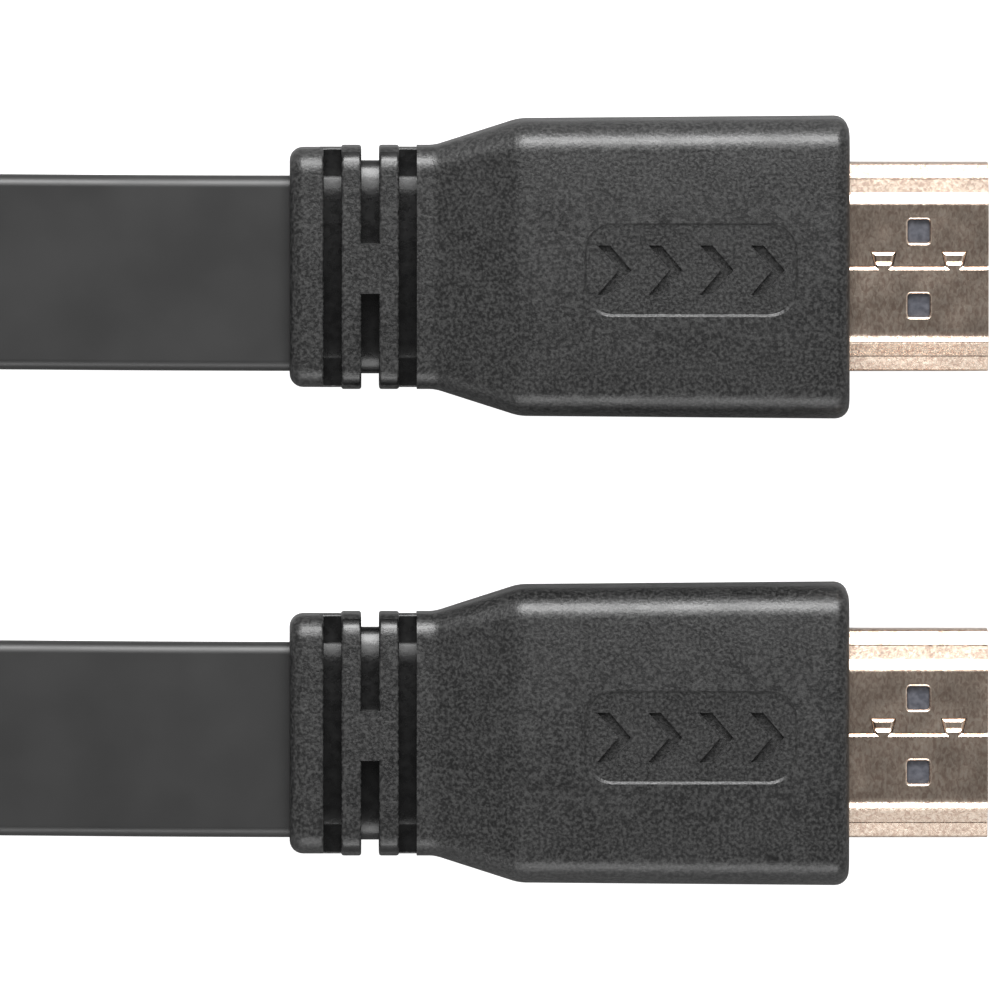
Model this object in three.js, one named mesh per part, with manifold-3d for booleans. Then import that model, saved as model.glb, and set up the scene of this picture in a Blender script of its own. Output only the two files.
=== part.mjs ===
// A flat digital video cable: two moulded plugs side by side, with the cable between them in a flat coil.
// Millimetres, +Z up. X runs toward the plugs' tips. The origin is on the floor, midway between the plugs.
import * as THREE from 'three';
import { mergeVertices } from 'three/addons/utils/BufferGeometryUtils.js';
import Module from 'manifold-3d';

const wasm = await Module();
wasm.setup();

// Moulded body
const BODY_LENGTH = 28.76;
const BODY_FRONT_WIDTH = 20.2;
const BODY_SHOULDER_WIDTH = 19.84;
const BODY_THICKNESS = 10.5;
const BODY_EDGE_RADIUS = 2.6;
const FRONT_EDGE_RADIUS = 0.8;
const TAPER_START = 1.2;
const TAPER_LENGTH = 5.6;

// Strain relief behind the body: collar, ribs and the gaps between them, from the back to the front
const RELIEF_WIDTH = 16.3;
const RELIEF_THICKNESS = 6.6;
const RELIEF_EDGE_RADIUS = 1.6;
const COLLAR_LENGTH = 2.26;
const COLLAR_EDGE_RADIUS = 0.9;
const RIB_LENGTH = 1.33;
const GROOVE_LENGTH = 1.18;
const CORE_INSET = 1.05;
const CORE_THICKNESS = 4.6;
const CORE_EDGE_RADIUS = 1.4;
const WEB_INSET = 0.1;
const WEB_THICKNESS = 3.2;
const BRIDGE_WIDTH = 3.3;

// Engraved frame and arrows on the top of the body
const FRAME_LENGTH = 14.3;
const FRAME_WIDTH = 6.3;
const FRAME_CORNER_RADIUS = 1.8;
const FRAME_SETBACK = 3.46;
const ENGRAVING_WIDTH = 0.36;
const ENGRAVING_DEPTH = 0.2;
const ARROW_COUNT = 4;
const ARROW_PITCH = 2.9;
const ARROW_HEIGHT = 2.9;
const ARROW_REACH = 1.3;
const ARROW_STROKE = 0.55;

// Plug shell, folded from one sheet, with its narrow face up
const SHELL_EXPOSED = 9.29;
const SHELL_BURIED = 4.5;
const SHELL_WIDTH = 13.9;
const SHELL_HEIGHT = 4.45;
const SHEET = 0.3;
const FACE_WIDTH = 8.7;
const FACE_BEND_WIDTH = 0.58;
const FACE_BEND_DROP = 0.3;
const FACET_WIDTH = 0.97;
const FACET_DROP = 1.2;
const SHOULDER_DROP = 0.5;
const SHELL_CORNER = 0.3;
const WINDOW_LENGTH = 1.8;
const WINDOW_WIDTH = 1.87;
const WINDOW_SPACING = 4.94;
const WINDOW_SETBACK = 4.66;
const SEAM_GAP = 0.12;
const DOVETAIL_SETBACKS = [2.3, 7.0];
const DOVETAIL_ROOT = 1.2;
const DOVETAIL_TOP = 1.66;
const DOVETAIL_REACH = 0.95;

// Contact carrier inside the shell, and its two rows of contacts
const CARRIER_SETBACK = 0.5;
const SLOT_WIDTH = 11.3;
const SLOT_HEIGHT = 1.9;
const SLOT_DEPTH = 9.5;
const CONTACT_PITCH = 1.0;
const CONTACTS_WIDE_ROW = 10;
const CONTACTS_NARROW_ROW = 9;
const CONTACT_WIDTH = 0.45;
const CONTACT_THICKNESS = 0.16;
const CONTACT_LENGTH = 8.2;
const CONTACT_SETBACK = 0.9;
const CONTACT_LEAD_IN = 0.35;

// Flat cable and its coil, which lies flat with the cable standing on its edge
const CABLE_WIDTH = 13;
const CABLE_THICKNESS = 2.2;
const COIL_CENTRE_X = -177;
const COIL_INNER_TURN = 25;
const COIL_OUTER_TURN = 55.25;
const MIDDLE_START_DEGREES = 57;

// Tie around the coil
const TIE_DEGREES = -75;
const TIE_WIDTH = 4;
const TIE_THICKNESS = 0.8;
const TIE_TAIL_LENGTH = 9;
const TIE_TAIL_THICKNESS = 1.9;
const TIE_TAIL_TURNS = 2.5;

// How the plugs lie, and the clearances
const PLUG_SPACING = 31.1;
const FIT = 0.1;
const CONTACT_FIT = 0.03;
const GAP = 0.3;
const CABLE_SOCKET_DEPTH = 1.5;

// Places that follow from the sizes
const RELIEF_LENGTH = COLLAR_LENGTH + 2 * RIB_LENGTH + 3 * GROOVE_LENGTH;
const PLUG_LENGTH = RELIEF_LENGTH + BODY_LENGTH + SHELL_EXPOSED;
const TIP_X = PLUG_LENGTH / 2;
const REAR_X = -PLUG_LENGTH / 2;
const BODY_REAR_X = REAR_X + RELIEF_LENGTH;
const BODY_FRONT_X = TIP_X - SHELL_EXPOSED;
const SHELL_REAR_X = BODY_FRONT_X - SHELL_BURIED;
const AXIS_Z = BODY_THICKNESS / 2;
const CABLE_SOCKET_X = REAR_X + CABLE_SOCKET_DEPTH;

// Routes of the two free stretches, from the plug to the coil, chosen by hand: x, y, z
const RUN_A_POINTS = [
  [-22.05, 15.55, 5.25], [-32, 15.55, 4.7], [-43, 15.55, 3.7], [-55, 15.55, 3.6], [-68, 15.55, 5.5],
  [-80, 15.55, 6.65], [-92.4, 15.55, 6.5], [-104.8, 13.4, 6.5], [-113, 9.1, 6.5], [-119.3, 3.5, 6.5],
];
const RUN_B_POINTS = [
  [-22.05, -15.55, 5.25], [-32, -15.55, 4.7], [-43, -15.55, 3.7], [-57, -15.55, 3.6], [-72, -15.55, 5.8],
  [-86, -15.55, 6.65], [-101.7, -15.55, 6.5], [-114, -17.7, 6.5], [-124.2, -23.4, 6.5],
];
// Where along X each stretch turns from lying flat to standing on its edge
const RUN_A_TWIST = { from: -46, to: -88 };
const RUN_B_TWIST = { from: -46, to: -92 };

const CORNER_STEPS = 3;
const RUN_STEPS = 26;
const MIDDLE_STEPS = 22;
const COIL_STEPS = 60;

const materials = {
  moulding: new THREE.MeshStandardMaterial({ color: 0x3b3b3b, roughness: 0.62, metalness: 0 }),
  cable: new THREE.MeshStandardMaterial({ color: 0x404040, roughness: 0.5, metalness: 0 }),
  gilt: new THREE.MeshStandardMaterial({ color: 0xcdb899, roughness: 0.25, metalness: 1 }),
  carrier: new THREE.MeshStandardMaterial({ color: 0x4a4d58, roughness: 0.5, metalness: 0 }),
  contact: new THREE.MeshStandardMaterial({ color: 0xd8b45a, roughness: 0.25, metalness: 1 }),
  tie: new THREE.MeshStandardMaterial({ color: 0x242424, roughness: 0.45, metalness: 0 }),
};

// A solid made ready for joining and cutting.
function toSolid(geometry) {
  const bare = geometry.clone();
  bare.deleteAttribute('normal');
  bare.deleteAttribute('uv');
  const merged = mergeVertices(bare, 1e-5);
  return new wasm.Manifold(new wasm.Mesh({
    numProp: 3,
    vertProperties: merged.attributes.position.array,
    triVerts: Uint32Array.from(merged.index.array),
  }));
}

function toGeometry(solid) {
  const mesh = solid.getMesh();
  const geometry = new THREE.BufferGeometry();
  geometry.setAttribute('position', new THREE.BufferAttribute(mesh.vertProperties, 3));
  geometry.setIndex(new THREE.BufferAttribute(mesh.triVerts, 1));
  return geometry;
}

function join(geometries) {
  return toGeometry(geometries.map(toSolid).reduce((whole, piece) => whole.add(piece)));
}

function cut(geometry, tools) {
  return toGeometry(tools.map(toSolid).reduce((whole, tool) => whole.subtract(tool), toSolid(geometry)));
}

// A box between two corners.
function box(low, high) {
  const size = high.map((value, axis) => value - low[axis]);
  const geometry = new THREE.BoxGeometry(...size);
  return geometry.translate(...low.map((value, axis) => value + size[axis] / 2));
}

// A shape drawn in X and Y, raised from z0 to z1.
function slab(shape, z0, z1) {
  return new THREE.ExtrudeGeometry(shape, { depth: z1 - z0, bevelEnabled: false }).translate(0, 0, z0);
}

// A shape drawn in Y and Z, run along X from x0 to x1.
function bar(points, x0, x1, holePoints) {
  const shape = new THREE.Shape(points);
  if (holePoints) shape.holes.push(new THREE.Path(holePoints));
  const geometry = new THREE.ExtrudeGeometry(shape, { depth: x1 - x0, bevelEnabled: false });
  geometry.applyMatrix4(new THREE.Matrix4().makeBasis(
    new THREE.Vector3(0, 1, 0), new THREE.Vector3(0, 0, 1), new THREE.Vector3(1, 0, 0)));
  return geometry.translate(x0, 0, 0);
}

// A rounded rectangle of half size 1, whose corner arcs fill the outer half of each quadrant.
function unitSection(steps) {
  const points = [];
  for (let corner = 0; corner < 4; corner += 1) {
    const centre = new THREE.Vector2(corner === 0 || corner === 3 ? 0.5 : -0.5, corner < 2 ? 0.5 : -0.5);
    for (let step = 0; step <= steps; step += 1) {
      const angle = (corner + step / steps) * Math.PI / 2;
      points.push(new THREE.Vector2(centre.x + 0.5 * Math.cos(angle), centre.y + 0.5 * Math.sin(angle)));
    }
  }
  return new THREE.Shape(points);
}

// One coordinate of a unitSection corner, spread to a real half size and corner radius.
function spread(unit, half, radius) {
  return Math.sign(unit) * (half - radius + radius * (2 * Math.abs(unit) - 1));
}

// A block along X through stations of { x, width, thickness, radius }, centred on the plug's axis.
function loft(stations) {
  const last = stations.length - 1;
  const section = unitSection(CORNER_STEPS);
  const geometry = new THREE.ExtrudeGeometry(section, { depth: last, steps: last, bevelEnabled: false });
  const position = geometry.attributes.position;
  for (let i = 0; i < position.count; i += 1) {
    const station = stations[Math.round(position.getZ(i))];
    const y = spread(position.getX(i), station.width / 2, station.radius);
    const z = spread(position.getY(i), station.thickness / 2, station.radius);
    position.setXYZ(i, station.x, y, AXIS_Z + z);
  }
  return geometry;
}

// The cable's or tie's section swept along a curve. roll(t) turns it about the curve, from 0 lying flat to
// PI / 2 standing on its edge.
function sweepStrip(curve, width, thickness, roll, steps) {
  const geometry = new THREE.ExtrudeGeometry(unitSection(2), { depth: steps, steps, bevelEnabled: false });
  const position = geometry.attributes.position;
  const up = new THREE.Vector3(0, 0, 1);
  for (let i = 0; i < position.count; i += 1) {
    const t = position.getZ(i) / steps;
    const side = new THREE.Vector3().crossVectors(up, curve.getTangent(t)).normalize();
    const over = new THREE.Vector3().crossVectors(curve.getTangent(t), side);
    const angle = roll(t);
    const across = spread(position.getX(i), width / 2, thickness / 2.05);
    const through = spread(position.getY(i), thickness / 2, thickness / 2.05);
    const place = curve.getPoint(t);
    place.addScaledVector(side, across * Math.cos(angle) - through * Math.sin(angle));
    place.addScaledVector(over, across * Math.sin(angle) + through * Math.cos(angle));
    position.setXYZ(i, place.x, place.y, place.z);
  }
  return geometry;
}

// Moves each edge of a closed outline, drawn anticlockwise, outward by a distance.
function offsetOutline(points, distance) {
  return points.map((point, i) => {
    const before = points[(i + points.length - 1) % points.length];
    const after = points[(i + 1) % points.length];
    const first = new THREE.Vector2(point.y - before.y, before.x - point.x).normalize();
    const second = new THREE.Vector2(after.y - point.y, point.x - after.x).normalize();
    const between = first.clone().add(second);
    return point.clone().addScaledVector(between, 2 * distance / between.lengthSq());
  });
}

// The outline of the shell in Y and Z, anticlockwise, with the narrow face at the top.
function shellOutline() {
  const half = SHELL_WIDTH / 2;
  const top = SHELL_HEIGHT / 2;
  const faceEnd = FACE_WIDTH / 2;
  const bendEnd = faceEnd + FACE_BEND_WIDTH;
  const facetEnd = bendEnd + FACET_WIDTH;
  const facetFoot = top - FACE_BEND_DROP - FACET_DROP;
  const right = [
    [half - SHELL_CORNER, -top],
    [half, -top + SHELL_CORNER],
    [half, facetFoot - SHOULDER_DROP],
    [facetEnd, facetFoot],
    [bendEnd, top - FACE_BEND_DROP],
    [faceEnd, top],
  ];
  const left = right.map(([y, z]) => [-y, z]).reverse();
  return [...right, ...left].map(([y, z]) => new THREE.Vector2(y, AXIS_Z + z));
}

// The moulded body without its cuts.
function bodyBlock() {
  const taperEnd = BODY_REAR_X + TAPER_START + TAPER_LENGTH;
  const rear = { width: RELIEF_WIDTH, thickness: RELIEF_THICKNESS, radius: RELIEF_EDGE_RADIUS };
  const roundStart = BODY_FRONT_X - FRONT_EDGE_RADIUS;
  const roundMiddle = BODY_FRONT_X - 0.3 * FRONT_EDGE_RADIUS;
  const full = { width: BODY_FRONT_WIDTH, thickness: BODY_THICKNESS, radius: BODY_EDGE_RADIUS };
  const shrunk = (amount) => ({
    width: full.width - 2 * amount,
    thickness: full.thickness - 2 * amount,
    radius: full.radius - amount / 2,
  });
  return loft([
    { x: BODY_REAR_X, ...rear },
    { x: BODY_REAR_X + TAPER_START, ...rear },
    { x: taperEnd, ...full, width: BODY_SHOULDER_WIDTH },
    { x: roundStart, ...full },
    { x: roundMiddle, ...shrunk(0.3 * FRONT_EDGE_RADIUS) },
    { x: BODY_FRONT_X, ...shrunk(FRONT_EDGE_RADIUS) },
  ]);
}

// A straight block of the strain relief.
function reliefBlock(x0, x1, width, thickness, radius) {
  return loft([{ x: x0, width, thickness, radius }, { x: x1, width, thickness, radius }]);
}

// Collar, two ribs, core, the webs that close two of the gaps at the sides, and the bridge over the third.
function strainRelief() {
  const pieces = [];
  const coreWidth = RELIEF_WIDTH - 2 * CORE_INSET;
  const overlap = RIB_LENGTH / 4;
  const collarEnd = REAR_X + COLLAR_LENGTH;
  const collar = { width: RELIEF_WIDTH, thickness: RELIEF_THICKNESS, radius: RELIEF_EDGE_RADIUS };
  pieces.push(loft([
    {
      x: REAR_X,
      width: RELIEF_WIDTH - 2 * COLLAR_EDGE_RADIUS,
      thickness: RELIEF_THICKNESS - COLLAR_EDGE_RADIUS,
      radius: RELIEF_EDGE_RADIUS - COLLAR_EDGE_RADIUS / 2,
    },
    { x: REAR_X + COLLAR_EDGE_RADIUS, ...collar },
    { x: collarEnd, ...collar },
  ]));
  pieces.push(reliefBlock(
    collarEnd - overlap, BODY_REAR_X + overlap, coreWidth, CORE_THICKNESS, CORE_EDGE_RADIUS));
  const pitch = GROOVE_LENGTH + RIB_LENGTH;
  for (let rib = 0; rib < 2; rib += 1) {
    const x = collarEnd + GROOVE_LENGTH + rib * pitch;
    pieces.push(reliefBlock(x, x + RIB_LENGTH, RELIEF_WIDTH, RELIEF_THICKNESS, RELIEF_EDGE_RADIUS));
  }
  for (const groove of [0, 2]) {
    const x = collarEnd + groove * pitch;
    for (const side of [-1, 1]) {
      const inner = side * (coreWidth / 2 - CORE_EDGE_RADIUS);
      const outer = side * (RELIEF_WIDTH / 2 - WEB_INSET);
      pieces.push(box(
        [x - overlap, Math.min(inner, outer), AXIS_Z - WEB_THICKNESS / 2],
        [x + GROOVE_LENGTH + overlap, Math.max(inner, outer), AXIS_Z + WEB_THICKNESS / 2],
      ));
    }
  }
  const middle = collarEnd + pitch;
  pieces.push(box(
    [middle - overlap, -BRIDGE_WIDTH / 2, AXIS_Z - RELIEF_THICKNESS / 2 + WEB_INSET],
    [middle + GROOVE_LENGTH + overlap, BRIDGE_WIDTH / 2, AXIS_Z + RELIEF_THICKNESS / 2 - WEB_INSET],
  ));
  return pieces;
}

// A rounded rectangle centred on a point, as a path.
function roundedRectangle(Kind, centreX, length, width, radius) {
  const x = centreX - length / 2;
  const y = -width / 2;
  const path = new Kind();
  path.moveTo(x + radius, y);
  path.lineTo(x + length - radius, y);
  path.absarc(x + length - radius, y + radius, radius, -Math.PI / 2, 0);
  path.lineTo(x + length, y + width - radius);
  path.absarc(x + length - radius, y + width - radius, radius, 0, Math.PI / 2);
  path.lineTo(x + radius, y + width);
  path.absarc(x + radius, y + width - radius, radius, Math.PI / 2, Math.PI);
  path.lineTo(x, y + radius);
  path.absarc(x + radius, y + radius, radius, Math.PI, 1.5 * Math.PI);
  return path;
}

// Cutters for the frame line and the row of arrows that point to the plug's tip.
function engravingCutters() {
  const centreX = BODY_FRONT_X - FRAME_SETBACK - FRAME_LENGTH / 2;
  const bottom = BODY_THICKNESS - ENGRAVING_DEPTH;
  const frame = roundedRectangle(THREE.Shape, centreX, FRAME_LENGTH, FRAME_WIDTH, FRAME_CORNER_RADIUS);
  frame.holes.push(roundedRectangle(THREE.Path, centreX, FRAME_LENGTH - 2 * ENGRAVING_WIDTH,
    FRAME_WIDTH - 2 * ENGRAVING_WIDTH, FRAME_CORNER_RADIUS - ENGRAVING_WIDTH));
  const cutters = [new THREE.ExtrudeGeometry(frame, { depth: 1, curveSegments: 4, bevelEnabled: false })];
  for (let i = 0; i < ARROW_COUNT; i += 1) {
    const x = centreX + (i - (ARROW_COUNT - 1) / 2) * ARROW_PITCH - ARROW_REACH / 2;
    const half = ARROW_HEIGHT / 2;
    const outline = [
      [x, -half], [x + ARROW_STROKE, -half], [x + ARROW_STROKE + ARROW_REACH, 0],
      [x + ARROW_STROKE, half], [x, half], [x + ARROW_REACH, 0],
    ];
    const arrow = new THREE.Shape(outline.map((point) => new THREE.Vector2(...point)));
    cutters.push(new THREE.ExtrudeGeometry(arrow, { depth: 1, bevelEnabled: false }));
  }
  return cutters.map((cutter) => cutter.translate(0, 0, bottom));
}

function overmould() {
  const whole = join([bodyBlock(), ...strainRelief()]);
  const shellPocket = bar(offsetOutline(shellOutline(), FIT), SHELL_REAR_X - GAP, BODY_FRONT_X + 1);
  const halfWidth = CABLE_WIDTH / 2 + GAP / 2;
  const halfThickness = CABLE_THICKNESS / 2 + GAP / 2;
  const cableSocket = box(
    [REAR_X - 1, -halfWidth, AXIS_Z - halfThickness],
    [CABLE_SOCKET_X, halfWidth, AXIS_Z + halfThickness],
  );
  return cut(whole, [shellPocket, cableSocket, ...engravingCutters()]);
}

// A thin slit along the seam, with one jog around each dovetail.
function seamCutter() {
  const centre = [[SHELL_REAR_X - 1, 0]];
  for (const setback of [...DOVETAIL_SETBACKS].reverse()) {
    const x = TIP_X - setback;
    centre.push(
      [x - DOVETAIL_ROOT / 2, 0], [x - DOVETAIL_TOP / 2, DOVETAIL_REACH],
      [x + DOVETAIL_TOP / 2, DOVETAIL_REACH], [x + DOVETAIL_ROOT / 2, 0],
    );
  }
  centre.push([TIP_X + 1, 0]);
  const low = centre.map(([x, y]) => new THREE.Vector2(x, y));
  const high = [...low].reverse();
  const ribbon = offsetOutline([...low, ...high], SEAM_GAP / 2);
  const ends = [
    [0, SHELL_REAR_X - 1, -1], [low.length - 1, TIP_X + 1, -1],
    [low.length, TIP_X + 1, 1], [2 * low.length - 1, SHELL_REAR_X - 1, 1],
  ];
  for (const [index, x, side] of ends) ribbon[index] = new THREE.Vector2(x, side * SEAM_GAP / 2);
  const top = AXIS_Z + SHELL_HEIGHT / 2;
  return slab(new THREE.Shape(ribbon), top - 2 * SHEET, top + 1);
}

function shell() {
  const outer = shellOutline();
  const sleeve = bar(outer, SHELL_REAR_X, TIP_X, offsetOutline(outer, -SHEET));
  const cutters = [seamCutter()];
  const x = TIP_X - WINDOW_SETBACK;
  for (const side of [-1, 1]) {
    const y = side * WINDOW_SPACING / 2;
    for (const face of [-1, 1]) {
      const z = AXIS_Z + face * SHELL_HEIGHT / 2;
      cutters.push(box(
        [x - WINDOW_LENGTH / 2, y - WINDOW_WIDTH / 2, z - 1.5 * SHEET],
        [x + WINDOW_LENGTH / 2, y + WINDOW_WIDTH / 2, z + 1.5 * SHEET],
      ));
    }
  }
  return cut(sleeve, cutters);
}

function carrier() {
  const front = TIP_X - CARRIER_SETBACK;
  const block = bar(offsetOutline(shellOutline(), -SHEET - FIT), SHELL_REAR_X, front);
  const slot = box(
    [front - SLOT_DEPTH, -SLOT_WIDTH / 2, AXIS_Z - SLOT_HEIGHT / 2],
    [front + 1, SLOT_WIDTH / 2, AXIS_Z + SLOT_HEIGHT / 2],
  );
  return cut(block, [slot]);
}

// A contact strip that lies against the slot's floor (side -1) or roof (side 1), with a sloped front end.
function contact(side) {
  const wall = side * (SLOT_HEIGHT / 2 - CONTACT_FIT);
  const free = wall - side * CONTACT_THICKNESS;
  const front = TIP_X - CARRIER_SETBACK - CONTACT_SETBACK;
  const back = front - CONTACT_LENGTH;
  const outline = [
    [back, wall], [front, wall], [front - CONTACT_LEAD_IN, free], [back, free],
  ].map(([x, z]) => new THREE.Vector2(x, AXIS_Z + z));
  const profile = new THREE.Shape(outline);
  const strip = new THREE.ExtrudeGeometry(profile, { depth: CONTACT_WIDTH, bevelEnabled: false });
  strip.translate(0, 0, -CONTACT_WIDTH / 2);
  return strip.rotateX(Math.PI / 2);
}

// A free stretch of cable, which turns onto its edge between the two X values of its twist.
function cableRun(points, twist) {
  const places = points.map((point) => new THREE.Vector3(...point));
  const curve = new THREE.CatmullRomCurve3(places, false, 'centripetal');
  const roll = (t) => {
    const share = (twist.from - curve.getPoint(t).x) / (twist.from - twist.to);
    return THREE.MathUtils.smoothstep(share, 0, 1) * Math.PI / 2;
  };
  return sweepStrip(curve, CABLE_WIDTH, CABLE_THICKNESS, roll, RUN_STEPS);
}

// The inner end of the winding: an S of two arcs that crosses the coil's hole.
class MiddleCurve extends THREE.Curve {
  getPoint(t, target = new THREE.Vector3()) {
    const radius = COIL_INNER_TURN / 2;
    const reach = COIL_INNER_TURN - CABLE_THICKNESS - 2 * GAP;
    const arc = Math.PI - 2 * Math.acos(reach / COIL_INNER_TURN);
    const side = t < 0.5 ? 1 : -1;
    const angle = (1 - Math.abs(2 * t - 1)) * arc + (Math.PI - arc);
    const lean = THREE.MathUtils.degToRad(MIDDLE_START_DEGREES);
    const x = side * radius * (1 + Math.cos(angle));
    const y = -side * radius * Math.sin(angle);
    return target.set(
      COIL_CENTRE_X + x * Math.cos(lean) - y * Math.sin(lean),
      x * Math.sin(lean) + y * Math.cos(lean),
      CABLE_WIDTH / 2,
    );
  }
}

// The inner end of the winding, on its edge all the way.
function cableMiddle() {
  return sweepStrip(new MiddleCurve(), CABLE_WIDTH, CABLE_THICKNESS, () => Math.PI / 2, MIDDLE_STEPS);
}

// Turns a piece drawn along X to where the tie goes round the coil.
function tiePlace(geometry) {
  return geometry.rotateZ(THREE.MathUtils.degToRad(TIE_DEGREES)).translate(COIL_CENTRE_X, 0, 0);
}

const COIL_INNER_RADIUS = COIL_INNER_TURN - CABLE_THICKNESS / 2;
const COIL_OUTER_RADIUS = COIL_OUTER_TURN + CABLE_THICKNESS / 2;

// The wound turns, with a channel underneath that the tie passes through.
function coil() {
  const bevel = CABLE_THICKNESS / 2;
  const profile = [
    [COIL_INNER_RADIUS, bevel], [COIL_INNER_RADIUS + bevel, 0], [COIL_OUTER_RADIUS - bevel, 0],
    [COIL_OUTER_RADIUS, bevel], [COIL_OUTER_RADIUS, CABLE_WIDTH - bevel],
    [COIL_OUTER_RADIUS - bevel, CABLE_WIDTH], [COIL_INNER_RADIUS + bevel, CABLE_WIDTH],
    [COIL_INNER_RADIUS, CABLE_WIDTH - bevel], [COIL_INNER_RADIUS, bevel],
  ].map(([r, z]) => new THREE.Vector2(r, z));
  const ring = new THREE.LatheGeometry(profile, COIL_STEPS);
  ring.rotateX(Math.PI / 2).translate(COIL_CENTRE_X, 0, 0);
  const halfChannel = TIE_WIDTH / 2 + GAP;
  const channel = tiePlace(box(
    [COIL_INNER_RADIUS - 2, -halfChannel, -1],
    [COIL_OUTER_RADIUS + 2, halfChannel, TIE_THICKNESS + GAP],
  ));
  return cut(ring, [channel]);
}

// A strip looped around the coil's section, with its ends twisted together on the outside.
function tie() {
  const inside = [COIL_INNER_RADIUS - GAP, COIL_OUTER_RADIUS + GAP];
  const top = CABLE_WIDTH + GAP;
  const half = TIE_WIDTH / 2;
  const outerLoop = box(
    [inside[0] - TIE_THICKNESS, -half, 0],
    [inside[1] + TIE_THICKNESS, half, top + TIE_THICKNESS],
  );
  const innerLoop = box([inside[0], -half - 1, TIE_THICKNESS], [inside[1], half + 1, top]);
  const tailStart = inside[1] + TIE_THICKNESS / 2;
  const tailHeight = CABLE_WIDTH / 2;
  const line = new THREE.LineCurve3(
    new THREE.Vector3(tailStart, 0, tailHeight),
    new THREE.Vector3(tailStart + TIE_TAIL_LENGTH, 0, tailHeight),
  );
  const tail = sweepStrip(line, TIE_WIDTH, TIE_TAIL_THICKNESS, (t) => t * TIE_TAIL_TURNS * Math.PI, 16);
  return tiePlace(join([cut(outerLoop, [innerLoop]), tail]));
}

const cable = new THREE.Group();
const add = (parent, name, geometry, material) => {
  const mesh = new THREE.Mesh(geometry, material);
  mesh.name = name;
  parent.add(mesh);
  return mesh;
};

function addContacts(plug, suffix, row, count, side) {
  for (let i = 0; i < count; i += 1) {
    const mesh = add(plug, `contact_${row}_${i + 1}_${suffix}`, contact(side), materials.contact);
    mesh.position.y = (i - (count - 1) / 2) * CONTACT_PITCH;
  }
}

for (const [suffix, side] of [['a', 1], ['b', -1]]) {
  const plug = new THREE.Group();
  plug.position.y = side * PLUG_SPACING / 2;
  add(plug, `overmould_${suffix}`, overmould(), materials.moulding);
  add(plug, `shell_${suffix}`, shell(), materials.gilt);
  add(plug, `carrier_${suffix}`, carrier(), materials.carrier);
  addContacts(plug, suffix, 'wide', CONTACTS_WIDE_ROW, -1);
  addContacts(plug, suffix, 'narrow', CONTACTS_NARROW_ROW, 1);
  cable.add(plug);
}

add(cable, 'cable_run_a', cableRun(RUN_A_POINTS, RUN_A_TWIST), materials.cable);
add(cable, 'cable_run_b', cableRun(RUN_B_POINTS, RUN_B_TWIST), materials.cable);
add(cable, 'cable_middle', cableMiddle(), materials.cable);
add(cable, 'cable_coil', coil(), materials.cable);
add(cable, 'cable_tie', tie(), materials.tie);

export default cable;
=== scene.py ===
"""A flat video cable with its two moulded plugs side by side, seen from straight above on a light table."""

import logging
import math
from collections.abc import Callable, Iterator, Sequence
from contextlib import contextmanager
from dataclasses import dataclass, field
from enum import Enum

import bmesh
import bpy
from mathutils import Matrix, Vector

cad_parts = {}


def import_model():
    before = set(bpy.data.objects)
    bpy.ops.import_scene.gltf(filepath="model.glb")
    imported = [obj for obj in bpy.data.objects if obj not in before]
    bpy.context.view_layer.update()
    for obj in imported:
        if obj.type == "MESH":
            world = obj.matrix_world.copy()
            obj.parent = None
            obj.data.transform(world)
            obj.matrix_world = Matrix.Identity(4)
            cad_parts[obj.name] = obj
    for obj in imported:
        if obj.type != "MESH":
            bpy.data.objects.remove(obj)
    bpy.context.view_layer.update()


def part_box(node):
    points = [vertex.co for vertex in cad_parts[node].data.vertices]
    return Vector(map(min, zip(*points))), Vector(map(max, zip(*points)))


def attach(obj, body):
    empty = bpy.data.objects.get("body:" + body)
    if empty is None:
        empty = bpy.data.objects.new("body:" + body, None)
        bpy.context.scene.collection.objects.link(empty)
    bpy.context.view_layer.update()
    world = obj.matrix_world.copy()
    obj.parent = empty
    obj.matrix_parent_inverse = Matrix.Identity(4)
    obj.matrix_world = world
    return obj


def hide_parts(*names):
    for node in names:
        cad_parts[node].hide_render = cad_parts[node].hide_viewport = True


LOG = logging.getLogger("flat_cable")
MM = 0.001

Point = tuple[float, float, float]


class Pick(Enum):
    """What kind of mesh element a selection is made of."""

    VERTS = "VERT"
    EDGES = "EDGE"
    FACES = "FACE"


class Row(Enum):
    """The two rows of contacts in a plug, by the wall they lie against."""

    WIDE = "wide"
    NARROW = "narrow"


class End(Enum):
    """The two ends of the cable: a is the upper one in the photograph."""

    A = "a"
    B = "b"


def mm(*values: float) -> tuple[float, ...]:
    """Millimetres turned into metres.

    Args:
        *values: Lengths in millimetres.

    Returns:
        The same lengths in metres.
    """
    return tuple(value * MM for value in values)


def make_active(piece: bpy.types.Object) -> None:
    """Leaves one piece selected and active.

    Args:
        piece: The piece to work on next.
    """
    bpy.ops.object.select_all(action="DESELECT")
    piece.select_set(True)
    bpy.context.view_layer.objects.active = piece


def settle(piece: bpy.types.Object) -> None:
    """Puts a piece's place, turn and scale into its mesh.

    Args:
        piece: The piece, whose object then sits at the origin.
    """
    make_active(piece)
    bpy.ops.object.transform_apply(location=True, rotation=True, scale=True)


@contextmanager
def editing(piece: bpy.types.Object, pick: Pick, whole: bool = False) -> Iterator[bmesh.types.BMesh]:
    """Edit mode on one piece, with nothing or everything selected.

    Args:
        piece: The piece to edit.
        pick: The select mode.
        whole: Whether everything is selected.

    Yields:
        The edit mesh.
    """
    make_active(piece)
    bpy.ops.object.mode_set(mode="EDIT")
    bpy.ops.mesh.select_mode(type=pick.value)
    bpy.ops.mesh.select_all(action="SELECT" if whole else "DESELECT")
    yield bmesh.from_edit_mesh(piece.data)
    bpy.ops.object.mode_set(mode="OBJECT")


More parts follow.
